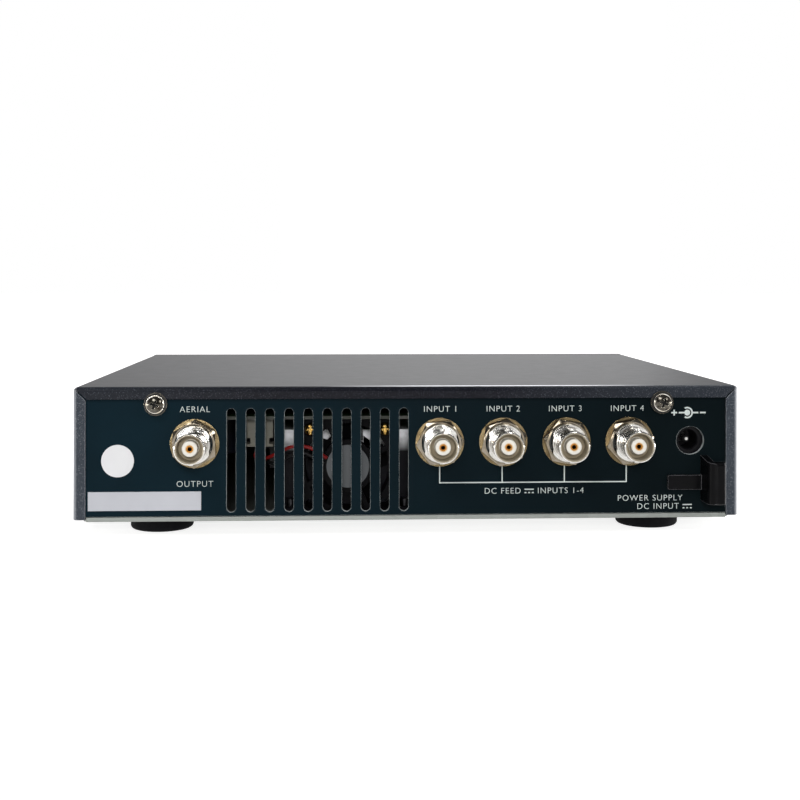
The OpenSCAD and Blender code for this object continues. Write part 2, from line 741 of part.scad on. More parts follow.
// Bayonet jack shell: barrel, lugs, shoulder, neck with two flats, and the body behind the panel
module jack_shell(x) {
    core_r = barrel_bore_r - join;
    shoulder_y = -neck_out - shoulder_t;
    color("#c8c2b2") translate([x, panel_y0, jack_z]) difference() {
        union() {
            turned() polygon([
                [core_r, -jack_reach + barrel_bevel + join],
                [barrel_bore_r + barrel_bevel, -jack_reach],
                [barrel_r - barrel_bevel, -jack_reach],
                [barrel_r, -jack_reach + barrel_bevel],
                [barrel_r, shoulder_y - 2 * relief],
                [barrel_r - relief, shoulder_y - relief],
                [barrel_r - relief, shoulder_y],
                [shoulder_r, shoulder_y],
                [shoulder_r, -neck_out],
                [barrel_r, -neck_out],
                [barrel_r, panel_t + join],
                [core_r, panel_t + join]
            ]);
            along_y(-neck_out, panel_t) neck_2d();
            for (turn = [0, 180])
                rotate([0, turn, 0]) translate([0, -jack_reach + lug_back, barrel_bore_r])
                    cylinder(r = lug_d / 2, h = lug_r - barrel_bore_r);
            along_y(panel_t, panel_t + block_d) span_2d(-block_w / 2, -block_low, block_w / 2, jack_drop);
        }
        y_rod(barrel_bore_r, -jack_reach - past, panel_t + block_d + past);
    }
}

// Jack insulator: a nose in the barrel on a wider seat
module jack_insulator(x) {
    seat_y = -jack_reach + seat_back;
    nose_y = -jack_reach + nose_back;
    hole_r = contact_r + press_gap;
    seat_r = barrel_bore_r - press_gap;
    color("#f4f2ea") translate([x, panel_y0, jack_z]) turned() polygon([
        [hole_r, nose_y],
        [nose_r - 0.2, nose_y],
        [nose_r, nose_y + 0.2],
        [nose_r, seat_y],
        [seat_r, seat_y],
        [seat_r, panel_t + block_d],
        [hole_r, panel_t + block_d]
    ]);
}

// Jack centre contact: a bored pin with a tail that turns up to the board
module jack_contact(x) {
    tip_y = -jack_reach + nose_back + 0.2;
    tail_r = 0.5;
    tail_y = panel_t + block_d + 2 * tail_r;
    color("#d9a441") translate([x, panel_y0, jack_z]) {
        turned() polygon([
            [contact_bore_r, tip_y],
            [contact_r, tip_y],
            [contact_r, panel_t + block_d],
            [tail_r, panel_t + block_d],
            [tail_r, tail_y],
            [0, tail_y],
            [0, tip_y + contact_bore],
            [contact_bore_r, tip_y + contact_bore]
        ]);
        translate([0, tail_y, 0]) cylinder(r = tail_r, h = jack_drop);
        translate([0, tail_y, 0]) sphere(tail_r);
    }
}

// Hex nuts, chamfered on their outer faces, each turned as it was tightened
module jack_nuts() {
    corner_r = nut_af / sqrt(3);
    y0 = -lock_t - nut_t;
    color("#cfc6ae")
        for (i = [0:len(jack_xs) - 1])
            translate([jack_xs[i], panel_y0, jack_z]) difference() {
                intersection() {
                    along_y(y0, -lock_t) rotate(nut_turns[i]) circle(corner_r, $fn = 6);
                    turned() polygon([
                        [0, y0], [nut_af / 2 - 0.1, y0], [corner_r + 0.2, y0 + 0.8],
                        [corner_r + 0.2, -lock_t], [0, -lock_t]
                    ]);
                }
                y_rod(neck_r + press_gap, y0 - past, past);
            }
}
module jack_lock_washers() {
    color("#b9ae90")
        for (x = jack_xs)
            translate([x, panel_y0, jack_z]) along_y(-lock_t, 0) difference() {
                circle(lock_r);
                circle(neck_r + press_gap);
                for (k = [0:lock_notches - 1])
                    rotate(k * 360 / lock_notches) translate([neck_r + press_gap, 0]) circle(notch_r);
            }
}

// DC inlet: a block on the board with a round socket, its centre pin and its solder terminals
dc_y0 = panel_y1 + dc_back;
dc_root_r = 1.6;
module dc_inlet_body() {
    lead_in = 0.4;
    color("#17171a") translate([dc_x, dc_y0, dc_z]) difference() {
        along_y(0, dc_body_d) span_2d(-dc_body_w / 2, -dc_body_low, dc_body_w / 2, dc_drop);
        y_rod(dc_socket_r, -past, dc_socket);
        turned() polygon([
            [0, -past],
            [dc_socket_r + lead_in + past, -past],
            [dc_socket_r, lead_in],
            [0, lead_in]
        ]);
        y_rod(dc_root_r + press_gap, -past, dc_body_d + past);
    }
}
module dc_inlet_pin() {
    tip = 0.35;
    rivet = 0.6;
    color("#d0cdc4") translate([dc_x, dc_y0, dc_z]) turned() polygon([
        [0, dc_pin_back],
        [dc_pin_r - tip, dc_pin_back],
        [dc_pin_r, dc_pin_back + tip],
        [dc_pin_r, dc_socket],
        [dc_root_r, dc_socket],
        [dc_root_r, dc_body_d + rivet],
        [0, dc_body_d + rivet]
    ]);
}
module dc_inlet_terminals() {
    blade_w = 2.4;
    sheet = 0.5;
    foot = 1;
    color("#c3bfb4") translate([dc_x, dc_y0 + dc_body_d, dc_z])
        for (s = sides)
            along_y(0, sheet) translate([s * (dc_body_w - blade_w) / 2, (dc_drop - foot) / 2])
                square([blade_w, dc_drop + foot], center = true);
}

// Cable hook: a tongue on the panel and a post with a lip, held by two pegs with upset heads
peg_r = 0.9;
peg_head_r = 1.6;
hook_x1 = half_w - hook_inset;
hook_x0 = hook_x1 - hook_w;
hook_z0 = cover_z0 + hook_low;
tongue_z0 = hook_z0 + tongue_low;
hook_pegs = [
    [hook_x0 - 0.7 * tongue_len, tongue_z0 + tongue_w / 2],
    [hook_x0 + hook_wall / 2, hook_z0 + hook_h - 2.5]
];
module cable_hook() {
    edge = 0.7;
    hook_z1 = hook_z0 + hook_h;
    color("#161618") translate([0, panel_y0, 0]) {
        intersection() {
            along_z(hook_z0, hook_z1 + hook_rise) difference() {
                union() {
                    span_2d(hook_x0, -hook_reach + hook_round, hook_x1, 0);
                    span_2d(hook_x0 + hook_round, -hook_reach, hook_x1, 0);
                    translate([hook_x0 + hook_round, -hook_reach + hook_round]) circle(hook_round);
                }
                span_2d(hook_x0 + hook_wall, -hook_reach + hook_lip, hook_x1 + past, past);
            }
            along_x(hook_x0 - past, hook_x1 + past) {
                polygon([
                    [-hook_reach, hook_z0 + edge],
                    [-hook_reach + edge, hook_z0],
                    [past, hook_z0],
                    [past, hook_z1 + hook_rise],
                    [-hook_reach + edge, hook_z1],
                    [-hook_reach, hook_z1 - edge]
                ]);
                for (z = [hook_z0 + edge, hook_z1 - edge]) translate([-hook_reach + edge, z]) circle(edge);
            }
        }
        along_y(-tongue_t, 0)
            round_rect(hook_x0 - tongue_len, tongue_z0, hook_x0 + hook_wall / 2, tongue_z0 + tongue_w, 0.6);
        for (p = hook_pegs)
            translate([p[0], 0, p[1]]) {
                y_rod(peg_r, -join, panel_t + join);
                y_rod(peg_head_r, panel_t, panel_t + 0.8);
            }
    }
}

// Fan frame: a square housing with four struts, a motor plate and the bearing's tube
bearing_r = 1.6;
bearing_y0 = 0.9;
bearing_y1 = 7.2;
tube_wall = 0.9;
rotor_y0 = 2;
rotor_y1 = 9.5;
hub_wall = 1;
hub_cap = 1.1;
magnet_t = 0.6;
magnet_in_r = hub_r - hub_wall - press_gap - magnet_t;
stator_r = magnet_in_r - 0.4;
tube_r = bearing_r + press_gap + tube_wall;
module in_fan() {
    translate([fan_x, fan_y0, fan_z]) children();
}
module fan_frame() {
    strut_w = 1.7;
    half = fan_size / 2;
    color("#1a1b1e") in_fan() difference() {
        union() {
            along_y(0, fan_t) difference() {
                round_rect(-half, -half, half, half, 2);
                circle(fan_bore_r);
                for (c = fan_corners) translate(c) circle(screw_r + hole_gap);
            }
            along_y(0, plate_t) {
                circle(plate_r);
                for (turn = [25:90:295])
                    rotate(turn) span_2d(plate_r - 0.5, -strut_w / 2, fan_bore_r + 0.4, strut_w / 2);
            }
            y_rod(tube_r, plate_t / 2, bearing_y1);
        }
        y_rod(bearing_r + press_gap, bearing_y0, bearing_y1 + past);
    }
}
module fan_bearing() {
    color("#b98d4a") in_fan() difference() {
        y_rod(bearing_r, bearing_y0, bearing_y1);
        y_rod(shaft_r + shaft_gap, bearing_y0 - past, bearing_y1 + past);
    }
}

// Fan stator: four poles on the bearing's tube, seated on the motor plate
module fan_stator() {
    stack_y1 = 6.8;
    pole_w = 2;
    color("#8a4a2c") in_fan() along_y(plate_t, stack_y1) difference() {
        union() {
            circle(tube_r + press_gap + 0.9);
            for (turn = [0, 90]) rotate(turn) square([2 * stator_r - 0.6, pole_w], center = true);
            difference() {
                circle(stator_r);
                circle(stator_r - 0.9);
                for (turn = [45, 135]) rotate(turn) square([2 * stator_r + past, pole_w], center = true);
            }
        }
        circle(tube_r + press_gap);
    }
}

// Fan rotor: a hub cup with curved blades, set across the air way
module fan_rotor() {
    boss_r = 2;
    boss_y0 = bearing_y1 + 0.4;
    blade_y0 = rotor_y0 + 0.5;
    blade_y1 = rotor_y1 - 0.3;
    camber_r = 10;
    camber_y = blade_y0 - 2.9;
    camber_z = -6.4;
    color("#22242a") in_fan() {
        difference() {
            union() {
                turned() polygon([
                    [hub_r - hub_wall, rotor_y0],
                    [hub_r, rotor_y0],
                    [hub_r, rotor_y1 - 0.6],
                    [hub_r - 0.6, rotor_y1],
                    [0, rotor_y1],
                    [0, boss_y0],
                    [boss_r, boss_y0],
                    [boss_r, rotor_y1 - hub_cap],
                    [hub_r - hub_wall, rotor_y1 - hub_cap]
                ]);
                intersection() {
                    for (k = [0:blade_count - 1])
                        rotate([0, blade_turn + k * 360 / blade_count, 0])
                            along_x(hub_r - 1, blade_tip_r) intersection() {
                                translate([camber_y, camber_z]) difference() {
                                    circle(camber_r);
                                    circle(camber_r - blade_t);
                                }
                                span_2d(blade_y0, -camber_r / 2, blade_y1, camber_r / 2);
                            }
                    turned() span_2d(hub_r - 0.3, blade_y0, blade_tip_r, blade_y1);
                }
            }
            y_rod(shaft_r + press_gap, boss_y0 - past, rotor_y1 - 0.4);
        }
    }
}
module fan_magnet() {
    color("#3a3634") in_fan() turned()
        span_2d(magnet_in_r, rotor_y0 + 0.3, hub_r - hub_wall - press_gap, rotor_y1 - hub_cap - press_gap);
}
module fan_shaft() {
    color("#c9ccd0") in_fan() y_rod(shaft_r, bearing_y0 + 0.2, rotor_y1 - 0.4 - press_gap);
}
module fan_screws() {
    color("#c99a3a") in_fan()
        for (c = fan_screw_corners)
            translate([c[0], 0, c[1]]) rotate([90, 0, 0]) cross_screw(fan_screw_len, fan_head_r);
}

// Fan bracket: an upright plate with an air opening, two ears for the fan's screws and two tabs on the pan
module fan_bracket() {
    plate_z1 = pan_z1 + wing_h;
    color("#cdd0d2") difference() {
        union() {
            along_y(bracket_y0, bracket_y0 + bracket_t) {
                span_2d(fan_x - sink_w / 2, pan_z1, fan_x + sink_w / 2, plate_z1);
                for (x = [for (s = sides) fan_x + s * fan_pitch / 2])
                    span_2d(x - ear_w / 2, plate_z1 - join, x + ear_w / 2, pan_z1 + fan_size);
            }
            for (p = wing_spots)
                along_z(pan_z1, pan_z1 + bracket_t)
                    span_2d(p[0] - wing_w / 2, p[1] - wing_d / 2, p[0] + wing_w / 2, bracket_y0 + bracket_t);
        }
        along_y(bracket_y0 - past, bracket_y0 + bracket_t + past) translate([fan_x, fan_z]) {
            circle(bracket_bore_r);
            for (c = fan_corners) translate(c) circle(screw_r + press_gap);
        }
        for (p = wing_spots)
            z_hole(p, screw_r + press_gap, pan_z1, bracket_t + past);
    }
}

// Fan header on the board, and the plug that clips into it from below
module fan_header() {
    color("#ebe9e0")
        along_z(board_z0 - header_h, board_z0)
            translate([header_x, header_y]) square([header_w, header_d], center = true);
}
module fan_plug() {
    notch_z0 = 0.8;
    notch_h = 2;
    notch_w = 1.2;
    color("#f1efe6")
        along_y(header_y - header_d / 2, header_y + header_d / 2)
            translate([header_x, plug_z0]) difference() {
                span_2d(-header_w / 2, 0, header_w / 2, plug_h);
                for (s = sides)
                    translate([s * header_w / 2, notch_z0 + notch_h / 2])
                        square([2 * notch_w, notch_h], center = true);
            }
}
module fan_lead_red() {
    color("#b3231d") in_fan() swept_tube(lead_red_route, lead_d / 2);
}
module fan_lead_black() {
    color("#1c1c1e") in_fan() swept_tube(lead_black_route, lead_d / 2);
}

// Heat sink: an extruded comb with two broad outer fins
module heat_sink() {
    half = sink_w / 2;
    clear_w = sink_w - 2 * outer_fin_t;
    fin_step = clear_w / (fin_count + 1);
    color("#d3d6d8") difference() {
        translate([fan_x, 0, pan_z1]) along_y(sink_y0, sink_y0 + sink_d) {
            span_2d(-half, 0, half, sink_base);
            span_2d(-half, 0, -half + outer_fin_t, sink_h);
            span_2d(half - outer_fin_t, 0, half, sink_h);
            for (k = [1:fin_count])
                translate([-clear_w / 2 + k * fin_step - fin_t / 2, 0]) square([fin_t, sink_h]);
        }
        for (p = sink_spots)
            z_hole(p, screw_r + press_gap, pan_z1, pan_screw_len - pan_t + side_gap);
        for (y = regulator_ys)
            translate([fan_x - half - past, y, regulator_screw_z])
                rotate([0, 90, 0]) cylinder(r = screw_r + press_gap, h = past + outer_fin_t + join);
    }
}

// Regulators: flat-backed packages screwed to the heat sink's left side, with three legs up to the board
regulator_w = 10;
regulator_z0 = pan_z1 + sink_base;
regulator_screw_z = regulator_z0 + 3;
regulator_tab_t = 1.3;
module regulators() {
    body_h = 9;
    body_t = 4.4;
    tab_h = 6.4;
    leg_w = 0.8;
    leg_t = 0.6;
    leg_pitch = 2.54;
    x0 = fan_x - sink_w / 2;
    color("#1d1d20")
        for (y = regulator_ys)
            translate([x0, y, regulator_z0]) difference() {
                union() {
                    translate([-regulator_tab_t, -regulator_w / 2, 0])
                        cube([regulator_tab_t, regulator_w, tab_h + body_h]);
                    translate([-body_t, -regulator_w / 2, tab_h]) cube([body_t, regulator_w, body_h]);
                    for (k = [-1:1])
                        translate([-body_t / 2 - leg_t, k * leg_pitch - leg_w / 2, tab_h + body_h - past])
                            cube([leg_t, leg_w, board_z0 - regulator_z0 - tab_h - body_h + past]);
                }
                translate([-regulator_tab_t - past, 0, regulator_screw_z - regulator_z0])
                    rotate([0, 90, 0]) cylinder(r = screw_r + hole_gap, h = regulator_tab_t + 2 * past);
            }
}

// Circuit board, hung component side down on four standoffs
module main_board() {
    color("#5f7f5a") difference() {
        along_z(board_z0, board_z1) span_2d(-board_half_w, board_y0, board_half_w, board_y1);
        for (p = post_spots)
            z_hole(p, screw_r + hole_gap, board_z0, board_t + past);
    }
}
module board_standoffs() {
    color("#c2a14e")
        for (p = post_spots)
            translate([p[0], p[1], pan_z1]) difference() {
                cylinder(d = post_af * 2 / sqrt(3), h = board_z0 - pan_z1, $fn = 6);
                translate([0, 0, -past]) cylinder(r = screw_r + press_gap, h = board_z0 - pan_z1 + 2 * past);
            }
}
module board_screws() {
    color("#b9b7ae") {
        screws_from_below(post_spots, pan_screw_len + 1);
        for (p = post_spots) translate([p[0], p[1], board_z1]) cross_screw(pan_screw_len + 1);
    }
}

// Filter cans behind the input jacks, each with a tuning recess in its lower face
module filter_cans() {
    color("#c6c8c6")
        for (i = [1:4])
            translate([jack_xs[i], can_y, 0]) difference() {
                along_z(board_z0 - can_h, board_z0) round_rect(-can_w / 2, 0, can_w / 2, can_d, 0.8);
                translate([0, can_d / 2, board_z0 - can_h - past]) cylinder(r = 1.8, h = past + 1.2);
            }
}

// Capacitors hung beside the output jack, with a groove near the board
module capacitors() {
    groove = 0.5;
    groove_drop = 3;
    color("#2a3350")
        for (x = cap_xs)
            translate([x, cap_y, board_z0]) rotate_extrude() difference() {
                span_2d(0, -cap_h, cap_r, 0);
                translate([cap_r + groove / 2, -groove_drop]) circle(groove * 1.5);
                translate([cap_r, -cap_h]) circle(groove);
            }
}

// Power switch with its plunger, the button that the plunger carries, and the lamp
switch_y1 = board_y1;
plunger_w = 3.4;
plunger_out = 5;
plunger_seat = 3;
switch_back = 2;
cap_y0 = switch_y1 + plunger_out;
module power_switch() {
    bore = plunger_w / 2 + side_gap;
    color("#26272b") difference() {
        along_y(switch_y1 - switch_l, switch_y1)
            translate([button_x, button_z]) square(switch_w, center = true);
        along_y(switch_y1 - switch_l + switch_back, switch_y1 + past)
            translate([button_x, button_z]) square(2 * bore, center = true);
    }
}
module switch_plunger() {
    color("#e2e0d8")
        along_y(switch_y1 - switch_l + switch_back + button_travel + side_gap, cap_y0 + plunger_seat)
            translate([button_x, button_z]) square(plunger_w, center = true);
}
module power_button() {
    seat = plunger_w + 2 * press_gap;
    flange = 1;
    crown = 0.8;
    flange_y1 = front_y0 - side_gap;
    color("#2b2d31") translate([button_x, 0, button_z]) difference() {
        union() {
            along_y(cap_y0, case_d + button_proud - crown)
                round_rect(-button_w / 2, -button_h / 2, button_w / 2, button_h / 2, 0.8);
            along_y(cap_y0, case_d + button_proud)
                square([button_w - 2 * crown, button_h - 2 * crown], center = true);
            along_y(flange_y1 - flange, flange_y1)
                square([button_w + 2.4, button_h + 2.4], center = true);
        }
        along_y(cap_y0 - past, cap_y0 + plunger_seat + press_gap) square(seat, center = true);
    }
}
led_y0 = front_y0 - 4;
module power_led() {
    collar = 0.4;
    dome_y = case_d + led_proud - led_r;
    color("#8fd08a") translate([led_x, 0, button_z]) turned() {
        span_2d(0, led_y0, led_r, dome_y);
        span_2d(0, led_y0, led_r + collar, led_y0 + 1);
        intersection() {
            translate([0, dome_y]) circle(led_r);
            span_2d(0, dome_y - led_r / 2, led_r, dome_y + led_r);
        }
    }
}
module led_holder() {
    half = led_r + 1.5;
    holder_d = 8;
    y0 = board_y1 - holder_d;
    color("#1b1c1f") {
        along_y(y0, led_y0) span_2d(led_x - half, button_z - half, led_x + half, button_z + half);
        along_y(y0, board_y1) span_2d(led_x - half, button_z, led_x + half, board_z0);
    }
}

// Moves a piece from the case's own depths to the frame of the whole part
module in_frame() {
    translate([0, frame_y, 0]) children();
}
in_frame() base_pan();
in_frame() rear_panel();
in_frame() front_panel();
in_frame() top_cover();
for (i = [0:3])
    in_frame() foot(foot_spots[i]);
in_frame() foot_screws();
in_frame() cover_screws();
in_frame() cover_washers();
in_frame() cover_spring_washers();
in_frame() side_screws();
in_frame() pan_screws();
for (i = [0:len(jack_names) - 1]) {
    in_frame() jack_shell(jack_xs[i]);
    in_frame() jack_insulator(jack_xs[i]);
    in_frame() jack_contact(jack_xs[i]);
}
in_frame() jack_nuts();
in_frame() jack_lock_washers();
in_frame() dc_inlet_body();
in_frame() dc_inlet_pin();
in_frame() dc_inlet_terminals();
in_frame() cable_hook();
in_frame() fan_frame();
in_frame() fan_stator();
in_frame() fan_bearing();
in_frame() fan_rotor();
in_frame() fan_magnet();
in_frame() fan_shaft();
in_frame() fan_screws();
in_frame() fan_bracket();
in_frame() fan_header();
in_frame() fan_plug();
in_frame() fan_lead_red();
in_frame() fan_lead_black();
in_frame() heat_sink();
in_frame() regulators();
in_frame() main_board();
in_frame() board_standoffs();
in_frame() board_screws();
in_frame() filter_cans();
in_frame() capacitors();
in_frame() power_switch();
in_frame() switch_plunger();
in_frame() power_button();
in_frame() power_led();
in_frame() led_holder();
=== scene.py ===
"""Looks of an antenna combiner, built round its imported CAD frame. Metres, in the CAD's own frame."""

import json
import math
from functools import reduce

import bmesh
import bpy
from mathutils import Matrix, Vector


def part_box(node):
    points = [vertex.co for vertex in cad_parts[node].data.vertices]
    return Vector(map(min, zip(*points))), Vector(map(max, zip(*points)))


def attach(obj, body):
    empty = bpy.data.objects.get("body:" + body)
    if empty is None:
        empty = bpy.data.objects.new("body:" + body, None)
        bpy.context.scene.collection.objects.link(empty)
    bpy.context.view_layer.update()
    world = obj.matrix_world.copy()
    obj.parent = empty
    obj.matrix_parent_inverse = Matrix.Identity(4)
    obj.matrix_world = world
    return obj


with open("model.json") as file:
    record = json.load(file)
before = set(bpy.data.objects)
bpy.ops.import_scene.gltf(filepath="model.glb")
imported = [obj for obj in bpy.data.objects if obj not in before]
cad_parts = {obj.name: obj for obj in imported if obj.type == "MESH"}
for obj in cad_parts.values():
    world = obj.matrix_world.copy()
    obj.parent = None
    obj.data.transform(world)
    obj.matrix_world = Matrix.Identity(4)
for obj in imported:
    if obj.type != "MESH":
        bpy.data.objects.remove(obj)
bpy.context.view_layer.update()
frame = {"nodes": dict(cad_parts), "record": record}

MM = 0.001
ROOT = "case"
WHITE = (1.0, 1.0, 1.0)
UPRIGHT = Matrix.Rotation(math.radians(90), 4, "X")

# Where the photograph was taken from
CAMERA_PLACE = Vector((-21.75, -468.5, 82.1)) * MM
CAMERA_YAW = 0.0477
CAMERA_ROLL = 0.001
SENSOR = 36.0
FOCAL_PIXELS = 1221.9
PICTURE = 800.0
AXIS_ROW = 278.9
CLIP_START = 0.01

# Jack and inlet axes, from the record's own mounts
MOUNTS = {m["name"]: Vector(m["pos_m"]) for m in frame["record"]["mounts"]}
JACKS = ["out", "in_1", "in_2", "in_3", "in_4"]
JACK_X = {jack: MOUNTS[jack + "_contact_bore"].x for jack in JACKS}
JACK_Z = MOUNTS["out_contact_bore"].z
DC_X, DC_Z = MOUNTS["dc_pin"].x, MOUNTS["dc_pin"].z


# Node trees

# Sockets of a Mix node that mixes colours, which share their names with its other sockets
MIX_FACTOR, MIX_FIRST, MIX_SECOND, MIX_RESULT = 0, 6, 7, 2
RANGE_KEYS = ("From Min", "From Max", "To Min", "To Max")
BEVEL_SAMPLES = 4
POCKET_SAMPLES = 8
# Cosine between a face and its rounded normal where an edge begins and where it is full
EDGE_FADE = (0.99, 0.86)


class Nodes:
    """Adds nodes to one tree. An input takes another node's socket or a plain value."""

    def __init__(self, tree, clamp=True):
        self.nodes = tree.nodes
        self.links = tree.links
        self.clamp = clamp

    def feed(self, socket, value):
        """Links another socket to an input, or sets the input's own value."""
        if isinstance(value, bpy.types.NodeSocket):
            self.links.new(value, socket)
        elif isinstance(value, tuple) and socket.type == "RGBA":
            socket.default_value = (*value, 1.0)
        else:
            socket.default_value = value

    def node(self, kind, settings=(), **inputs):
        """A node with its settings and with inputs by name, where _ stands for a space."""
        made = self.nodes.new(kind)
        for key, value in dict(settings).items():
            setattr(made, key, value)
        for key, value in inputs.items():
            self.feed(made.inputs[key.replace("_", " ")], value)
        return made

    def span(self, value, low, high, to_low=0.0, to_high=1.0, curve="LINEAR"):
        """Carries value from low and high to to_low and to_high, and holds it beyond them."""
        made = self.node("ShaderNodeMapRange", {"interpolation_type": curve}, Value=value)
        for key, number in zip(RANGE_KEYS, (low, high, to_low, to_high)):
            made.inputs[key].default_value = number
        return made.outputs["Result"]

    def mix(self, factor, first, second):
        """A colour that goes from first to second."""
        made = self.node("ShaderNodeMix", {"data_type": "RGBA"})
        for socket, value in zip((MIX_FACTOR, MIX_FIRST, MIX_SECOND), (factor, first, second)):
            self.feed(made.inputs[socket], value)
        return made.outputs[MIX_RESULT]

    def math(self, operation, first, second=0.0):
        """One operation, held between 0 and 1 in a tree that clamps."""
        made = self.node("ShaderNodeMath", {"operation": operation, "use_clamp": self.clamp})
        self.feed(made.inputs[0], first)
        self.feed(made.inputs[1], second)
        return made.outputs[0]

    def both(self, *values):
        """The product of the values."""
        return reduce(lambda first, second: self.math("MULTIPLY", first, second), values)

    def either(self, *values):
        """The largest of the values."""
        return reduce(lambda first, second: self.math("MAXIMUM", first, second), values)

    def vector(self, operation, *values):
        """The outputs of one operation on vectors."""
        made = self.node("ShaderNodeVectorMath", {"operation": operation})
        for socket, value in zip(made.inputs, values):
            self.feed(socket, value)
        return made.outputs


class Surface(Nodes):
    """A procedural material: one shader and the nodes that feed it, in the piece's own metres."""

    def __init__(self, name):
        self.material = bpy.data.materials.new(name)
        self.material.use_nodes = True
        super().__init__(self.material.node_tree)
        self.shader = self.nodes["Principled BSDF"]
        self.place = self.node("ShaderNodeTexCoord").outputs["Object"]

    def set(self, **inputs):
        """Feeds the shader's inputs by name."""
        for key, value in inputs.items():
            self.feed(self.shader.inputs[key.replace("_", " ")], value)

    def noise(self, size, detail=2.0, stretch=None):
        """Noise from 0 to 1 whose lumps are about size metres across, drawn out along an axis by stretch."""
        where = self.place
        if stretch:
            where = self.node("ShaderNodeMapping", Vector=where, Scale=stretch).outputs["Vector"]
        made = self.node("ShaderNodeTexNoise", Vector=where, Scale=1 / size, Detail=detail)
        return made.outputs["Fac"]

    def grains(self, size):
        """The outputs of a texture of grains, each about size metres across."""
        return self.node("ShaderNodeTexVoronoi", Vector=self.place, Scale=1 / size).outputs

    def flat_normal(self):
        """The surface's own normal."""
        return self.node("ShaderNodeNewGeometry").outputs["Normal"]

    def soft_normal(self, radius):
        """The surface's normal, rounded over by radius metres at its edges."""
        return self.node("ShaderNodeBevel", {"samples": BEVEL_SAMPLES}, Radius=radius).outputs["Normal"]

    def edges(self, soft):
        """1 along the edges that soft rounds over, 0 on open faces."""
        return self.span(self.vector("DOT_PRODUCT", soft, self.flat_normal())["Value"], *EDGE_FADE)

    def facing(self, letter):
        """1 on faces that look along an axis, 0 on faces that lie along it."""
        split = self.node("ShaderNodeSeparateXYZ", Vector=self.flat_normal())
        return self.math("ABSOLUTE", split.outputs[letter])

    def pocket(self, reach, shallow, deep):
        """1 in recesses narrower than about reach metres, 0 on open faces."""
        made = self.node("ShaderNodeAmbientOcclusion", {"samples": POCKET_SAMPLES}, Distance=reach)
        return self.span(made.outputs["AO"], shallow, deep)

    def axis(self, letter):
        """The place along X, Y or Z."""
        return self.node("ShaderNodeSeparateXYZ", Vector=self.place).outputs[letter]

    def from_axis(self, x, z):
        """Distance from the line along Y through (x, z)."""
        shift = self.vector("SUBTRACT", self.place, (x, 0.0, z))["Vector"]
        across = self.vector("MULTIPLY", shift, (1.0, 0.0, 1.0))["Vector"]
        return self.vector("LENGTH", across)["Value"]

    def bump(self, height, depth, normal=None):
        """Raises the surface by height, up to depth metres, and gives the finished material."""
        made = self.node("ShaderNodeBump", Height=height, Distance=depth)
        if normal is not None:
            self.feed(made.inputs["Normal"], normal)
        self.feed(self.shader.inputs["Normal"], made.outputs["Normal"])
        return self.material


# Finishes

# Fades: where each starts and ends, then its share at both where that isn't 0 and 1
COVER_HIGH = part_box("top_cover")[1]
COVER_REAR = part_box("top_cover")[0].y
FLANGE = 4 * MM
FLANGE_END = (FLANGE + 0.3 * MM, FLANGE)
BELOW_MITRE = (0.0, 0.3 * MM)
REAR_FACE = (COVER_REAR + 2 * MM, COVER_REAR + 1.4 * MM)
# Painted highlight down the side folds at the rear
SIDE_FOLD_GLINT = (1.3 * MM, 0.5 * MM, 0.0, 0.3)
# Painted sheen on the rear face, paler towards its left and right ends
SHEEN_LEFT = (-40 * MM, -95 * MM, 0.0, 0.25)
SHEEN_RIGHT = (20 * MM, 90 * MM, 0.0, 0.5)
# Where a highlight is painted along the rear fold: across the fold, along it and down from the top
FOLD_FROM = (COVER_REAR + 0.95 * MM, COVER_REAR + 1.1 * MM)
FOLD_TO = (COVER_REAR + 2.4 * MM, COVER_REAR + 1.9 * MM)
GLINT_FROM = (-28 * MM, 2 * MM)
GLINT_TO = (80 * MM, 52 * MM)
GLINT_DEPTH = (0.34 * MM, 0.24 * MM)
# The panel's paint has painted shade that darkens it to the right, and a pale painted highlight where its
# faces turn away from Y
PANEL_SHADE = (0.08, -0.1)
PUNCHED_WALL = (0.6, 0.3)
# The inside of the pan
PAN_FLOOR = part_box("base_pan")[0].z + 0.5 * MM
PAN_INWARD = (-75 * MM, -73 * MM)
PAN_UPWARD = (PAN_FLOOR, 2 * PAN_FLOOR)
# Radii round a jack's axis
SHELL_BORE = 4.42 * MM
IN_BORE = (SHELL_BORE, SHELL_BORE + 0.1 * MM, 1.0, 0.0)
NOSE = 2.5 * MM
ROUND_NOSE = (NOSE, NOSE + 0.15 * MM)
ROUND_CONTACT = (1.5 * MM, 1.1 * MM, 0.0, 0.8)
# A contact's gilt ring at its tip, in front of the painted shade down its bore, and the painted highlight on
# the inlet pin's tip
CONTACT_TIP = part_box("out_jack_contact")[0].y
CONTACT_RING = (CONTACT_TIP + 0.3 * MM, CONTACT_TIP + 0.1 * MM)
PIN_HIGHLIGHT = (0.55 * MM, 0.35 * MM)
# Heights over which the painted shade on the sheets behind the slots fades out upwards
BRACKET_UNSHADED = (25 * MM, 30 * MM)
FINS_UNSHADED = (24 * MM, 31 * MM)
# Clouds of tarnish on plated metal
TARNISHED = (0.42, 0.78, 0.0, 0.8)

# Tones of the jacks, with a painted edge highlight, painted bounce light and painted shade among them, and
# the painted shade of a screw's recess
PLATE_BRIGHT = (0.74, 0.73, 0.71)
PLATE_TARNISH = (0.5, 0.455, 0.38)
PLATE_SCUFF_GLINT = (0.98, 0.95, 0.88)
BORE_DULL = (0.4, 0.35, 0.26)
INSULATOR_DULL = (0.8, 0.77, 0.7)
INSULATOR_WHITE = (0.88, 0.86, 0.8)
INSULATOR_BOUNCE_LIGHT = (0.75, 0.45, 0.12)
SEAT_SHADE = (0.3, 0.25, 0.17)
RECESS_SHADE = (0.004, 0.004, 0.004)


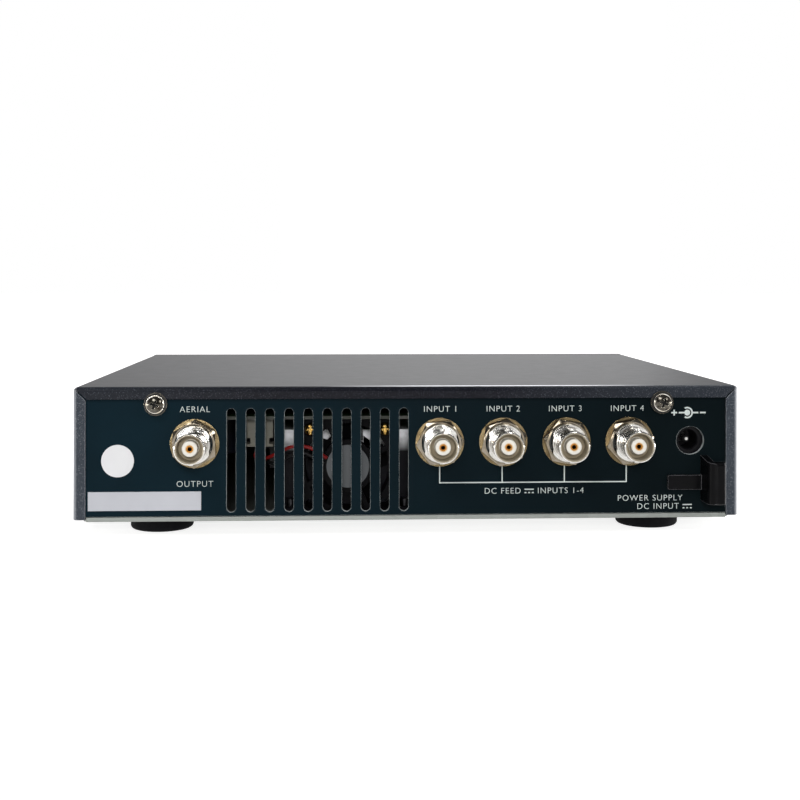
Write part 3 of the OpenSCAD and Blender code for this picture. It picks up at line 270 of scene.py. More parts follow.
def textured_paint(name, dark, light, worn_dark, worn_light, bare):
    """Powder paint with a fine pebble: pale grains in a dark ground, both painted paler on the flanges and
    the rear ends as sheen, with painted highlights on the folds and pale cut edges.
    """
    s = Surface(name)
    soft = s.soft_normal(0.25 * MM)
    grain = s.grains(0.5 * MM)["Distance"]
    cloud = s.noise(6 * MM, 3)
    fine = s.noise(0.4 * MM, 1)
    x, y, z = (s.axis(letter) for letter in "XYZ")
    from_side = s.math("SUBTRACT", COVER_HIGH.x, s.math("ABSOLUTE", x))
    from_top = s.math("SUBTRACT", COVER_HIGH.z, z)
    below_mitre = s.span(s.math("SUBTRACT", from_top, from_side), *BELOW_MITRE)
    upright = s.both(below_mitre, s.span(from_side, *FLANGE_END))
    rear = s.span(y, *REAR_FACE)
    # Painted sheen: the side flanges and the rear face's ends take the paler tones
    worn = s.both(s.either(upright, s.span(x, *SHEEN_LEFT), s.span(x, *SHEEN_RIGHT)), rear)
    speck = s.both(s.span(grain, 0.45, 0.14), s.span(fine, 0.36, 0.6))
    pale = s.either(speck, s.span(cloud, 0.3, 0.8, 0.0, 0.12))
    ground = s.mix(pale, s.mix(worn, dark, worn_dark), s.mix(worn, light, worn_light))
    # Painted highlight: a pale line along the rear fold
    on_fold = s.both(s.span(y, *FOLD_FROM), s.span(y, *FOLD_TO))
    along = s.both(s.span(x, *GLINT_FROM), s.span(x, *GLINT_TO))
    rubbed = s.both(on_fold, along, s.span(from_top, *GLINT_DEPTH))
    # Pale cut edges on the flanges, partly bare sheet and partly painted highlight
    cut = s.both(s.edges(soft), upright, 0.5)
    # Painted highlight: the side folds at the rear go towards the pale tone
    side_fold_glint = s.both(rear, s.span(from_side, *SIDE_FOLD_GLINT))
    s.set(Base_Color=s.mix(s.either(cut, side_fold_glint, rubbed), ground, bare))
    s.set(Roughness=s.span(cloud, 0.2, 0.8, 0.3, 0.33), Specular_IOR_Level=0.06)
    return s.bump(grain, 0.006 * MM, soft)


def panel_paint(name, tone, deep, bare):
    """Smooth sheet paint with a slight orange peel, with painted shade to the right and a pale painted
    highlight, patchy, on the punched walls and along the edges.
    """
    s = Surface(name)
    soft = s.soft_normal(0.26 * MM)
    cloud = s.noise(18 * MM, 4)
    peel = s.noise(1.1 * MM, 2)
    # Painted highlight: edges and punched walls go patchily towards the pale tone
    cut = s.either(s.edges(soft), s.span(s.facing("Y"), *PUNCHED_WALL))
    worn = s.both(cut, s.span(s.noise(2.5 * MM, 3), 0.3, 0.55, 0.6, 1.0))
    # Painted shade: darker towards the right
    shade = s.both(s.span(cloud, 0.3, 0.7, 0.7, 1.0), s.span(s.axis("X"), *PANEL_SHADE))
    s.set(Base_Color=s.mix(worn, s.mix(shade, deep, tone), bare))
    s.set(Roughness=s.span(cloud, 0.25, 0.75, 0.36, 0.46), Specular_IOR_Level=0.025)
    return s.bump(peel, 0.008 * MM, soft)


def satin_paint(name, tone, light):
    """Even satin paint with a faint cloudiness and rubbed edges."""
    s = Surface(name)
    soft = s.soft_normal(0.25 * MM)
    cloud = s.noise(9 * MM, 3)
    fine = s.noise(0.4 * MM, 2)
    ground = s.mix(s.span(cloud, 0.25, 0.75, 0.0, 0.16), tone, light)
    s.set(Base_Color=s.mix(s.both(s.edges(soft), 0.3), ground, light))
    s.set(Roughness=s.span(cloud, 0.25, 0.75, 0.42, 0.55), Specular_IOR_Level=0.35)
    return s.bump(fine, 0.012 * MM, soft)


def plated(name, tone, tarnish, edge, rough, streak=None, dent=0.01, metallic=1.0):
    """Plated or bare metal: clouds of tarnish, rubbed edges and, where streak says, a drawn grain."""
    s = Surface(name)
    soft = s.soft_normal(0.12 * MM)
    cloud = s.noise(2.2 * MM, 4)
    grain = s.noise(0.3 * MM, 3, streak)
    ground = s.mix(s.span(cloud, *TARNISHED), tone, tarnish)
    s.set(Base_Color=s.mix(s.both(s.edges(soft), 0.6), ground, edge), Metallic=metallic)
    s.set(Roughness=s.span(grain, 0.25, 0.75, 0.8 * rough, 1.4 * rough))
    return s.bump(grain, dent * MM, soft)


def jack_plate(name, x, z):
    """Bright plating on a jack's turned shell at (x, z), pale at its edges as scuffs and a painted
    highlight, and dull in its bore.
    """
    s = Surface(name)
    soft = s.soft_normal(0.2 * MM)
    cloud = s.noise(2.2 * MM, 4)
    turning = s.noise(0.12 * MM, 1, (0.0, 1.0, 0.0))
    inside = s.span(s.from_axis(x, z), *IN_BORE)
    # Pale edges: scuffs and a painted highlight on the rims
    scuff_and_glint = s.edges(soft)
    outside = s.mix(s.span(cloud, *TARNISHED), PLATE_BRIGHT, PLATE_TARNISH)
    s.set(Base_Color=s.mix(inside, s.mix(scuff_and_glint, outside, PLATE_SCUFF_GLINT), BORE_DULL))
    on_scuff_glint = s.span(scuff_and_glint, 0.0, 1.0, 1.0, 0.35)
    in_bore = s.span(inside, 0.0, 1.0, 1.0, 0.4)
    s.set(Metallic=s.math("MINIMUM", on_scuff_glint, in_bore))
    s.set(Roughness=s.span(inside, 0.0, 1.0, 0.09, 0.38))
    return s.bump(turning, 0.04 * MM, soft)


def bored_gilt(name, face, bore):
    """A gilt contact, bright gilt at its tip and painted shade down its bore."""
    s = Surface(name)
    cloud = s.noise(0.6 * MM, 3)
    ring = s.both(s.span(s.axis("Y"), *CONTACT_RING), s.span(cloud, 0.2, 0.6, 0.7, 1.0))
    # Painted shade: away from the tip's ring the bore takes the near-black tone
    s.set(Base_Color=s.mix(ring, bore, face), Metallic=0.6)
    s.set(Roughness=s.span(cloud, 0.3, 0.7, 0.3, 0.45))
    return s.bump(cloud, 0.004 * MM, s.soft_normal(0.1 * MM))


def jack_insulator(name, x, z):
    """White insulator with painted warm bounce light from the contact at (x, z) and painted shade on its
    seat round the nose.
    """
    s = Surface(name)
    cloud = s.noise(1.2 * MM, 3)
    fine = s.noise(0.3 * MM, 2)
    radius = s.from_axis(x, z)
    white = s.mix(s.span(cloud, 0.3, 0.7), INSULATOR_DULL, INSULATOR_WHITE)
    # Painted bounce light: warm from the gilt contact near the axis
    nose = s.mix(s.span(radius, *ROUND_CONTACT), white, INSULATOR_BOUNCE_LIGHT)
    # Painted shade on the seat beyond the nose
    s.set(Base_Color=s.mix(s.span(radius, *ROUND_NOSE), nose, SEAT_SHADE))
    s.set(Roughness=s.span(fine, 0.3, 0.7, 0.4, 0.5), Specular_IOR_Level=0.3)
    return s.bump(fine, 0.004 * MM, s.soft_normal(0.15 * MM))


def pocket_screw(name, tone, tarnish, edge):
    """A plated screw with painted shade in its recess and painted highlights along its rims."""
    s = Surface(name)
    soft = s.soft_normal(0.12 * MM)
    cloud = s.noise(1.5 * MM, 4)
    grain = s.noise(0.3 * MM, 3)
    ground = s.mix(s.span(cloud, 0.4, 0.75), tone, tarnish)
    # Painted highlight: rims go towards the edge tone
    rubbed = s.mix(s.both(s.edges(soft), 0.7), ground, edge)
    # Painted shade in the recess and round the foot of the head
    pocket = s.pocket(1.5 * MM, 0.93, 0.72)
    s.set(Base_Color=s.mix(pocket, rubbed, RECESS_SHADE), Metallic=s.span(pocket, 0.0, 0.6, 0.9, 0.0))
    s.set(Roughness=s.either(s.span(grain, 0.25, 0.75, 0.12, 0.2), s.both(pocket, 0.7)))
    return s.bump(grain, 0.004 * MM, soft)


def bright_tip(name, x, z, tip, side):
    """A round pin along Y through (x, z) with a painted highlight on its tip and painted shade on its side.
    """
    s = Surface(name)
    cloud = s.noise(0.5 * MM, 3)
    # Painted highlight on the tip's middle, painted shade round it
    middle = s.span(s.from_axis(x, z), *PIN_HIGHLIGHT)
    s.set(Base_Color=s.mix(middle, side, tip), Metallic=0.3, Roughness=s.span(cloud, 0.3, 0.7, 0.2, 0.3))
    return s.bump(cloud, 0.003 * MM, s.soft_normal(0.1 * MM))


def shaded_sheet(name, bright, dull, shade_fade):
    """Bright sheet with painted shade below the heights in shade_fade, and its own bright tone above them.
    """
    s = Surface(name)
    grain = s.noise(0.3 * MM, 3, (1, 1, 0.1))
    patch = s.noise(3 * MM, 3)
    # Painted shade below, fading out upwards with patchy edges
    unshaded = s.both(s.span(s.axis("Z"), *shade_fade), s.span(patch, 0.2, 0.5, 0.6, 1.0))
    s.set(Base_Color=s.mix(unshaded, dull, bright), Metallic=0.1)
    s.set(Roughness=s.span(grain, 0.25, 0.75, 0.35, 0.5), Specular_IOR_Level=0.08)
    return s.bump(grain, 0.01 * MM, s.soft_normal(0.2 * MM))


def galvanised(name, tone, dark, dust_and_shade):
    """Zinc-coated sheet with large crystal spangles and painted shade inside the case."""
    s = Surface(name)
    soft = s.soft_normal(0.2 * MM)
    spangle = s.span(s.grains(5 * MM)["Color"], 0.0, 1.0)
    fine = s.noise(0.5 * MM, 3)
    # Painted shade: the pan's inside face goes dark
    inner = s.both(s.span(s.axis("Y"), *PAN_INWARD), s.span(s.axis("Z"), *PAN_UPWARD))
    s.set(Base_Color=s.mix(inner, s.mix(spangle, dark, tone), dust_and_shade), Metallic=0.75)
    s.set(Roughness=s.span(spangle, 0.0, 1.0, 0.38, 0.55))
    return s.bump(fine, 0.012 * MM, soft)


def moulded(name, tone, light, rough, grain=0.35, depth=0.01, specular=0.45, edge=None, rounding=0.2):
    """Moulded plastic: fine spark-eroded grain, faint flow clouds and paler edges, a painted highlight in
    the edge tone where one is given, else rubbed to light.
    """
    s = Surface(name)
    soft = s.soft_normal(rounding * MM)
    cloud = s.noise(4 * MM, 3)
    fine = s.noise(grain * MM, 2)
    ground = s.mix(s.span(cloud, 0.3, 0.75, 0.0, 0.4), tone, light)
    s.set(Base_Color=s.mix(s.both(s.edges(soft), 0.5), ground, edge or light))
    s.set(Roughness=s.span(cloud, 0.25, 0.75, rough - 0.05, rough + 0.06), Specular_IOR_Level=specular)
    return s.bump(fine, depth * MM, soft)


def rubber(name, tone, dust_and_shade):
    """Matte rubber with a bloom of dust."""
    s = Surface(name)
    bloom = s.noise(3 * MM, 5)
    fine = s.noise(0.3 * MM, 3)
    s.set(Base_Color=s.mix(s.span(bloom, 0.45, 0.8, 0.0, 0.5), tone, dust_and_shade))
    s.set(Roughness=s.span(fine, 0.3, 0.7, 0.72, 0.88), Specular_IOR_Level=0.12)
    return s.bump(fine, 0.03 * MM, s.soft_normal(0.3 * MM))


def circuit_board(name, mask, glass, copper):
    """Solder mask over glass weave, with the glass tone on the cut edges painted dark as shade, and faint
    tracks.
    """
    s = Surface(name)
    weave = s.node("ShaderNodeTexWave", Vector=s.place, Scale=1 / (1.2 * MM), Distortion=1.5)
    track = s.noise(3 * MM, 1, (1.0, 0.2, 1.0))
    top = s.mix(s.span(track, 0.55, 0.6, 0.0, 0.5), mask, copper)
    s.set(Base_Color=s.mix(s.facing("Z"), glass, top), Roughness=s.span(track, 0.3, 0.7, 0.4, 0.6))
    return s.bump(weave.outputs["Fac"], 0.01 * MM)


def printed(name, tone, thin):
    """Screen ink, laid a little unevenly."""
    s = Surface(name)
    patch = s.noise(0.6 * MM, 3)
    s.set(Base_Color=s.mix(s.span(patch, 0.5, 0.8, 0.0, 0.35), tone, thin))
    s.set(Roughness=s.span(patch, 0.3, 0.7, 0.5, 0.65), Specular_IOR_Level=0.3)
    return s.bump(patch, 0.004 * MM)


def label_stock(name, tone, shade, rough, metallic=0.0):
    """Label stock: fine fibre, a slight cockle and a grubby edge."""
    s = Surface(name)
    soft = s.soft_normal(0.15 * MM)
    cockle = s.noise(7 * MM, 2)
    fibre = s.noise(0.25 * MM, 3)
    ground = s.mix(s.span(cockle, 0.3, 0.8, 0.0, 0.5), tone, shade)
    s.set(Base_Color=s.mix(s.both(s.edges(soft), 0.5), ground, shade), Metallic=metallic)
    s.set(Roughness=s.span(fibre, 0.3, 0.7, rough - 0.06, rough + 0.08), Specular_IOR_Level=0.35)
    return s.bump(cockle, 0.02 * MM)


def lamp_lens(name, tone, deep):
    """Tinted clear lens."""
    s = Surface(name)
    cloud = s.noise(1.5 * MM, 2)
    s.set(Base_Color=s.mix(s.span(cloud, 0.3, 0.7), deep, tone))
    s.set(Roughness=s.span(cloud, 0.3, 0.7, 0.12, 0.2), Transmission_Weight=0.5)
    return s.bump(cloud, 0.005 * MM)


FINISHES = {}


def finish(make, name, *look, **more):
    """Makes a finish and keeps it under its name."""
    FINISHES[name] = make(name, *look, **more)


# Paint, sheet and rubber
finish(
    textured_paint,
    "cover_paint",
    dark=(0.0065, 0.007, 0.0105),
    light=(0.036, 0.038, 0.05),
    # Paler tones of the painted sheen on the flanges and rear ends
    worn_dark=(0.042, 0.05, 0.062),
    worn_light=(0.18, 0.195, 0.22),
    # Pale tone of the cut edges and of the painted highlights on the folds
    bare=(0.92, 0.94, 1.0),
)
# Panel paint: its tone, the deeper tone of its painted shade and the pale tone of its painted highlight
finish(panel_paint, "panel_paint", (0.0055, 0.0175, 0.026), (0.003, 0.0062, 0.0076), (0.5, 0.54, 0.54))
finish(satin_paint, "front_paint", (0.012, 0.012, 0.014), (0.05, 0.05, 0.055))
# Galvanised sheet: its tone, its darker spangles and the painted shade inside the case
finish(galvanised, "galvanised", (0.31, 0.328, 0.31), (0.24, 0.256, 0.24), (0.03, 0.03, 0.03))
# Sheets behind the slots: bright tone, painted shade below, and the heights where the shade fades
finish(shaded_sheet, "bracket_sheet", (0.9, 0.91, 0.93), (0.008, 0.008, 0.01), BRACKET_UNSHADED)
finish(shaded_sheet, "sink_fins", (0.7, 0.71, 0.73), (0.03, 0.033, 0.042), FINS_UNSHADED)
finish(rubber, "rubber", (0.004, 0.004, 0.005), (0.014, 0.014, 0.015))

# Metal: tone, tarnish, rubbed edge and roughness
finish(plated, "nickel", (0.84, 0.81, 0.75), (0.58, 0.47, 0.3), (0.86, 0.68, 0.36), 0.07, dent=0.001)
finish(plated, "thread_plate", (0.5, 0.47, 0.4), (0.3, 0.24, 0.15), (0.6, 0.5, 0.3), 0.26, dent=0.001)
finish(
    plated,
    "nut_plate",
    (0.3, 0.262, 0.21),
    (0.12, 0.09, 0.045),
    (0.75, 0.65, 0.46),
    0.08,
    dent=0.001,
    metallic=0.94,
)
finish(plated, "winding", (0.45, 0.16, 0.06), (0.25, 0.09, 0.04), (0.6, 0.25, 0.1), 0.35, streak=(1, 0.1, 1))
finish(plated, "zinc", (0.72, 0.72, 0.7), (0.55, 0.54, 0.5), (0.8, 0.8, 0.78), 0.3)
finish(plated, "black_zinc", (0.05, 0.05, 0.055), (0.03, 0.03, 0.03), (0.25, 0.25, 0.25), 0.34)
finish(plated, "yellow_zinc", (0.17, 0.13, 0.07), (0.07, 0.045, 0.02), (0.8, 0.66, 0.38), 0.2)
finish(plated, "dark_screw", (0.08, 0.08, 0.085), (0.05, 0.05, 0.05), (0.2, 0.2, 0.2), 0.4)
# Its edge tone also serves as a painted highlight
finish(plated, "aged_gilt", (0.4, 0.25, 0.07), (0.2, 0.11, 0.03), (0.95, 0.78, 0.38), 0.14)
finish(plated, "bronze", (0.7, 0.5, 0.22), (0.5, 0.34, 0.16), (0.8, 0.6, 0.3), 0.32)
finish(plated, "polished_steel", (0.78, 0.79, 0.8), (0.6, 0.61, 0.62), (0.85, 0.85, 0.86), 0.14)
finish(plated, "can", (0.78, 0.79, 0.78), (0.6, 0.61, 0.6), (0.85, 0.85, 0.85), 0.26)
# Screw and washer: the edge tone is a painted rim highlight
finish(pocket_screw, "aged_screw", (0.13, 0.12, 0.1), (0.06, 0.05, 0.038), (0.8, 0.75, 0.63))
finish(pocket_screw, "aged_washer", (0.032, 0.028, 0.02), (0.016, 0.014, 0.01), (0.7, 0.62, 0.45))
# Gilt of the tip, then the painted shade down the bore
finish(bored_gilt, "contact_gilt", (0.5, 0.2, 0.025), (0.02, 0.005, 0.002))
# Painted highlight on the pin's tip, then painted shade on its side
finish(bright_tip, "inlet_pin", DC_X, DC_Z, (0.85, 0.84, 0.8), (0.03, 0.03, 0.03))
for jack in JACKS:
    finish(jack_insulator, jack + "_insulator", JACK_X[jack], JACK_Z)
    finish(jack_plate, jack + "_plate", JACK_X[jack], JACK_Z)

# Plastic: tone, lighter tone and roughness
finish(
    moulded,
    "hook_plastic",
    (0.002, 0.002, 0.0025),
    (0.005, 0.005, 0.006),
    0.22,
    grain=0.5,
    depth=0.006,
    specular=0.08,
    # A painted highlight along the hook's edges
    edge=(0.3, 0.3, 0.32),
    rounding=0.35,
)
finish(moulded, "inlet_plastic", (0.003, 0.003, 0.004), (0.008, 0.008, 0.009), 0.4, specular=0.15)
finish(moulded, "fan_plastic", (0.0025, 0.0025, 0.003), (0.005, 0.005, 0.006), 0.55, specular=0.06)
finish(moulded, "plug_plastic", (0.16, 0.156, 0.13), (0.21, 0.2, 0.17), 0.45, specular=0.2)
finish(moulded, "lead_red", (0.15, 0.005, 0.005), (0.2, 0.012, 0.01), 0.35, specular=0.2)
finish(moulded, "lead_black", (0.004, 0.004, 0.0045), (0.01, 0.01, 0.01), 0.35, specular=0.15)
finish(moulded, "sleeve", (0.004, 0.005, 0.01), (0.01, 0.012, 0.02), 0.4, specular=0.1)
finish(moulded, "magnet", (0.03, 0.028, 0.027), (0.06, 0.055, 0.05), 0.6)
finish(moulded, "package", (0.012, 0.012, 0.013), (0.03, 0.03, 0.03), 0.55)
finish(moulded, "button_plastic", (0.014, 0.014, 0.016), (0.05, 0.05, 0.055), 0.42)
finish(moulded, "switch_plastic", (0.014, 0.014, 0.016), (0.04, 0.04, 0.04), 0.5)
# The glass tone on the board's edges is painted dark as shade
finish(circuit_board, "board", (0.012, 0.026, 0.011), (0.021, 0.023, 0.017), (0.022, 0.04, 0.018))
finish(lamp_lens, "lamp", (0.4, 0.75, 0.38), (0.25, 0.6, 0.25))

# Print and labels
finish(printed, "panel_ink", (0.62, 0.68, 0.66), (0.4, 0.46, 0.45))
finish(label_stock, "sticker_paper", (0.8, 0.8, 0.81), (0.72, 0.72, 0.74), 0.5)
finish(label_stock, "silver_label", (0.54, 0.55, 0.59), (0.46, 0.47, 0.51), 0.42)
finish(label_stock, "fan_label", (0.07, 0.075, 0.08), (0.052, 0.057, 0.06), 0.4, metallic=0.3)

# A node takes the finish of its slot in the record, apart from these
NODE_SLOT = {row["node"]: row["material_slot"] for row in frame["record"]["subparts"]}
NODE_FINISH = {
    "fan_bracket": "bracket_sheet",
    "heat_sink": "sink_fins",
    "cover_washers": "aged_washer",
    "cover_screws": "aged_screw",
    "pan_screws": "dark_screw",
    "fan_screws": "aged_gilt",
    "dc_inlet_pin": "inlet_pin",
    "jack_nuts": "nut_plate",
    "jack_lock_washers": "yellow_zinc",
}
for jack in JACKS:
    NODE_FINISH[jack + "_jack_contact"] = "contact_gilt"
    NODE_FINISH[jack + "_jack_insulator"] = jack + "_insulator"
    NODE_FINISH[jack + "_jack_shell"] = jack + "_plate"
for node_name, node_object in frame["nodes"].items():
    look = NODE_FINISH.get(node_name, NODE_SLOT[node_name])
    node_object.data.materials.clear()
    node_object.data.materials.append(FINISHES[look])


# Pieces that only the looks need


def piece(name, mesh, look):
    """A new piece with a named finish that rides on the case."""
    mesh.materials.clear()
    mesh.materials.append(FINISHES[look])
    made = bpy.data.objects.new(name, mesh)
    bpy.context.scene.collection.objects.link(made)
    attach(made, ROOT)


def mesh_of(name, build):
    """A mesh from a function that fills a bmesh."""
    shape = bmesh.new()
    build(shape)
    bmesh.ops.recalc_face_normals(shape, faces=shape.faces)
    mesh = bpy.data.meshes.new(name)
    shape.to_mesh(mesh)
    shape.free()
    return mesh


def raise_outline(shape, outline, y_face, height):
    """A flat plate on a face: outline in X and Z, standing height proud of y_face towards -Y."""
    base = [shape.verts.new((x, y_face, z)) for x, z in outline]
    crest = [shape.verts.new((x, y_face - height, z)) for x, z in outline]
    shape.faces.new(base)
    shape.faces.new(crest[::-1])
    count = len(outline)
    for i in range(count):
        shape.faces.new((base[i], crest[i], crest[(i + 1) % count], base[(i + 1) % count]))


def arc_points(x, z, r, start, end, count):
    """Points on a circle about (x, z), from start to end in degrees."""
    angles = [math.radians(start + (end - start) * i / count) for i in range(count + 1)]
    return [(x + r * math.cos(a), z + r * math.sin(a)) for a in angles]


def disc(x, z, r, count):
    """A full circle of count points."""
    return arc_points(x, z, r, 0, 360 - 360 / count, count - 1)


def bar(x0, z0, x1, z1):
    """A rectangle between two corners."""
    return [(x0, z0), (x1, z0), (x1, z1), (x0, z1)]


# Print on the panel
PANEL_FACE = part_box("rear_panel")[0].y
INK_HEIGHT = 0.03 * MM
INK_THIN = 0.03 * MM
LINE = 0.36 * MM
CAPITALS = 1.9 * MM
CAP_SHARE = 0.7
LETTER_SPACE = 1.15
LETTER_STEPS = 4
TOP_ROW = 40.3 * MM
OUT_TOP_ROW = TOP_ROW + 0.2 * MM
OUT_LOW_ROW = 16.8 * MM
FEED_ROW = 13.9 * MM
SUPPLY_ROW = 11.3 * MM
DC_ROW = 8.6 * MM
INPUT_PITCH = 20.15 * MM
INPUT_PRINT_X = [JACK_X["in_1"] + i * INPUT_PITCH for i in range(4)]
INPUT_SHIFT = 0.3 * MM
BRACKET_LOW = 16.9 * MM
BRACKET_HIGH = JACK_Z - 7 * MM
CURRENT_WIDTH = 3 * MM
CURRENT_GAP = 0.35 * MM
FEED_X, FEED_CURRENT_X, FEED_TO_X = 30 * MM, 38.6 * MM, 48.8 * MM
SUPPLY_X = 77.9 * MM
DC_WORDS_X, DC_CURRENT_X = 80.5 * MM, 90.1 * MM


def legend(name, words, x, z):
    """Ink lettering on the panel, centred at (x, z)."""
    curve = bpy.data.curves.new(name, "FONT")
    curve.body = words
    curve.align_x = "CENTER"
    curve.align_y = "CENTER"
    curve.size = CAPITALS / CAP_SHARE
    curve.space_character = LETTER_SPACE
    curve.offset = -INK_THIN
    curve.extrude = INK_HEIGHT / 2
    curve.resolution_u = LETTER_STEPS
    made = bpy.data.objects.new(name, curve)
    bpy.context.scene.collection.objects.link(made)
    made.matrix_world = Matrix.Translation((x, PANEL_FACE - INK_HEIGHT / 2, z)) @ UPRIGHT
    bpy.context.view_layer.update()
    mesh = bpy.data.meshes.new_from_object(made.evaluated_get(bpy.context.evaluated_depsgraph_get()))
    mesh.transform(made.matrix_world)
    bpy.data.objects.remove(made)
    piece(name, mesh, "panel_ink")


def draw(shape, *outlines):
    """Ink in each outline."""
    for outline in outlines:
        raise_outline(shape, outline, PANEL_FACE, INK_HEIGHT)


def bracket_lines(shape):
    """The line that joins the four inputs, with a riser to each."""
    half = LINE / 2
    draw(shape, bar(INPUT_PRINT_X[0] - half, BRACKET_LOW - LINE, INPUT_PRINT_X[-1] + half, BRACKET_LOW))
    draw(shape, *(bar(x - half, BRACKET_LOW, x + half, BRACKET_HIGH) for x in INPUT_PRINT_X))


def direct_current(shape, x, z):
    """The sign for direct current: a bar over three dashes."""
    left, right = x - CURRENT_WIDTH / 2, x + CURRENT_WIDTH / 2
    dash = CURRENT_WIDTH / 5
    over, under = z + CURRENT_GAP, z - CURRENT_GAP
    draw(shape, bar(left, over, right, over + LINE))
    for start in (left, left + 2 * dash, left + 4 * dash):
        draw(shape, bar(start, under - LINE, start + dash, under))


def current_signs(shape):
    direct_current(shape, FEED_CURRENT_X, FEED_ROW)
    direct_current(shape, DC_CURRENT_X, DC_ROW)


def polarity(shape):
    """The sign for a barrel plug's polarity, above the inlet."""
    x, z = DC_X - 0.9 * MM, 38.9 * MM
    half = 0.24 * MM
    dot_r, ring_r = 0.95 * MM, 1.85 * MM
    line_left, line_right = x - 2.75 * MM, x + 3.6 * MM
    sign = 0.95 * MM
    plus_x, minus_x = x - 4.3 * MM, x + 5.1 * MM
    gap, dot_steps, ring_steps = 120, 24, 30
    outer = arc_points(x, z, ring_r, -gap, gap, ring_steps)
    inner = arc_points(x, z, ring_r - 2 * half, gap, -gap, ring_steps)
    draw(
        shape,
        disc(x, z, dot_r, dot_steps),
        outer + inner,
        bar(line_left, z - half, x - dot_r, z + half),
        bar(x + ring_r, z - half, line_right, z + half),
        bar(minus_x - sign, z - half, minus_x + sign, z + half),
        bar(plus_x - sign, z - half, plus_x + sign, z + half),
        bar(plus_x - half, z + half, plus_x + half, z + sign),
        bar(plus_x - half, z - sign, plus_x + half, z - half),
    )


legend("print_out_top", "AERIAL", JACK_X["out"], OUT_TOP_ROW)
legend("print_out_low", "OUTPUT", JACK_X["out"], OUT_LOW_ROW)
for number, print_x in enumerate(INPUT_PRINT_X, 1):
    legend(f"print_in_{number}", f"INPUT {number}", print_x + INPUT_SHIFT, TOP_ROW)
legend("print_feed", "DC FEED", FEED_X, FEED_ROW)
legend("print_feed_to", "INPUTS 1-4", FEED_TO_X, FEED_ROW)
legend("print_supply", "POWER SUPPLY", SUPPLY_X, SUPPLY_ROW)
legend("print_dc", "DC INPUT", DC_WORDS_X, DC_ROW)
for print_name, build_print in (
    ("print_bracket", bracket_lines),
    ("print_polarity", polarity),
    ("print_current_signs", current_signs),
):
    piece(print_name, mesh_of(print_name, build_print), "panel_ink")

# Bare stickers
LABEL_HEIGHT = 0.12 * MM
STICKER_X, STICKER_Z, STICKER_R = -92.6 * MM, 24.3 * MM, 5.15 * MM
LABEL_LEFT, LABEL_RIGHT = -101.9 * MM, -66.3 * MM
LABEL_LOW, LABEL_TOP = 8.5 * MM, 14.5 * MM
FAN_LOW, FAN_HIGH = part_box("fan_frame")
FAN_X, FAN_Z = (FAN_LOW.x + FAN_HIGH.x) / 2, (FAN_LOW.z + FAN_HIGH.z) / 2
FAN_STICKER_R = 6.9 * MM
STICKER_STEPS = 60


def round_sticker(shape):
    outline = disc(STICKER_X, STICKER_Z, STICKER_R, STICKER_STEPS)
    raise_outline(shape, outline, PANEL_FACE, LABEL_HEIGHT)


def long_label(shape):
    raise_outline(shape, bar(LABEL_LEFT, LABEL_LOW, LABEL_RIGHT, LABEL_TOP), PANEL_FACE, LABEL_HEIGHT)


def fan_sticker(shape):
    outline = disc(FAN_X, FAN_Z, FAN_STICKER_R, STICKER_STEPS)
    raise_outline(shape, outline, FAN_LOW.y, LABEL_HEIGHT / 2)


piece("round_sticker", mesh_of("round_sticker", round_sticker), "sticker_paper")
piece("long_label", mesh_of("long_label", long_label), "silver_label")
piece("fan_sticker", mesh_of("fan_sticker", fan_sticker), "fan_label")

# Threads on the jacks' necks, between the nut and the shoulder
NECK_R = 5.95 * MM
NECK_FLAT = 5 * MM
NECK_END = PANEL_FACE - 4.9 * MM
NUT_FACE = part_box("jack_nuts")[0].y
THREAD_PITCH = 0.6 * MM
THREAD_RISE = 0.2 * MM
THREAD_SINK = 0.02 * MM
THREAD_HALF = 0.42 * THREAD_PITCH
THREAD_LEAD = 0.25 * THREAD_PITCH
THREAD_STEPS = 20
FLAT_MARGIN = 2


def neck_thread(shape, x, z):
    """Ridges on the two round sides of a neck, each a strip with a pointed section."""
    reach = math.degrees(math.acos(NECK_FLAT / (NECK_R + THREAD_RISE))) + FLAT_MARGIN
    turns = int((NUT_FACE - NECK_END) / THREAD_PITCH)
    foot, crest = NECK_R - THREAD_SINK, NECK_R + THREAD_RISE
    for turn in range(turns):
        middle = NECK_END + (turn + 0.5) * THREAD_PITCH
        for start in (reach, 180 + reach):
            rings = []
            for i in range(THREAD_STEPS + 1):
                degrees = start + (180 - 2 * reach) * i / THREAD_STEPS
                cosine, sine = math.cos(math.radians(degrees)), math.sin(math.radians(degrees))
                y = middle + THREAD_LEAD * (degrees - 180) / 180
                section = ((foot, y - THREAD_HALF), (crest, y), (foot, y + THREAD_HALF))
                rings.append([shape.verts.new((x + r * cosine, d, z + r * sine)) for r, d in section])
            for a, b in zip(rings, rings[1:]):
                for k in range(3):
                    shape.faces.new((a[k], a[(k + 1) % 3], b[(k + 1) % 3], b[k]))
            shape.faces.new(rings[0][::-1])
            shape.faces.new(rings[-1])


def all_threads(shape):
    for jack in JACKS:
        neck_thread(shape, JACK_X[jack], JACK_Z)


piece("jack_threads", mesh_of("jack_threads", all_threads), "thread_plate")


# Stage: a pale floor, a room, soft lamps and the camera

FLOOR_HALF = 6.0
FLOOR_TONE = (0.45, 0.44, 0.43)
FLOOR_DIM = (0.06, 0.057, 0.053)
FLOOR_FADE = (-0.1, -0.16, 0.0, 1.0)
FLOOR_GLOW = (0.1, 0.16, 0.8, 0.97)
FLOOR_ROUGHNESS = 0.9
FLOOR_SPECULAR = 0.1
BACKGROUND_RAYS = ("Is Camera Ray", "Is Glossy Ray", "Is Transmission Ray")


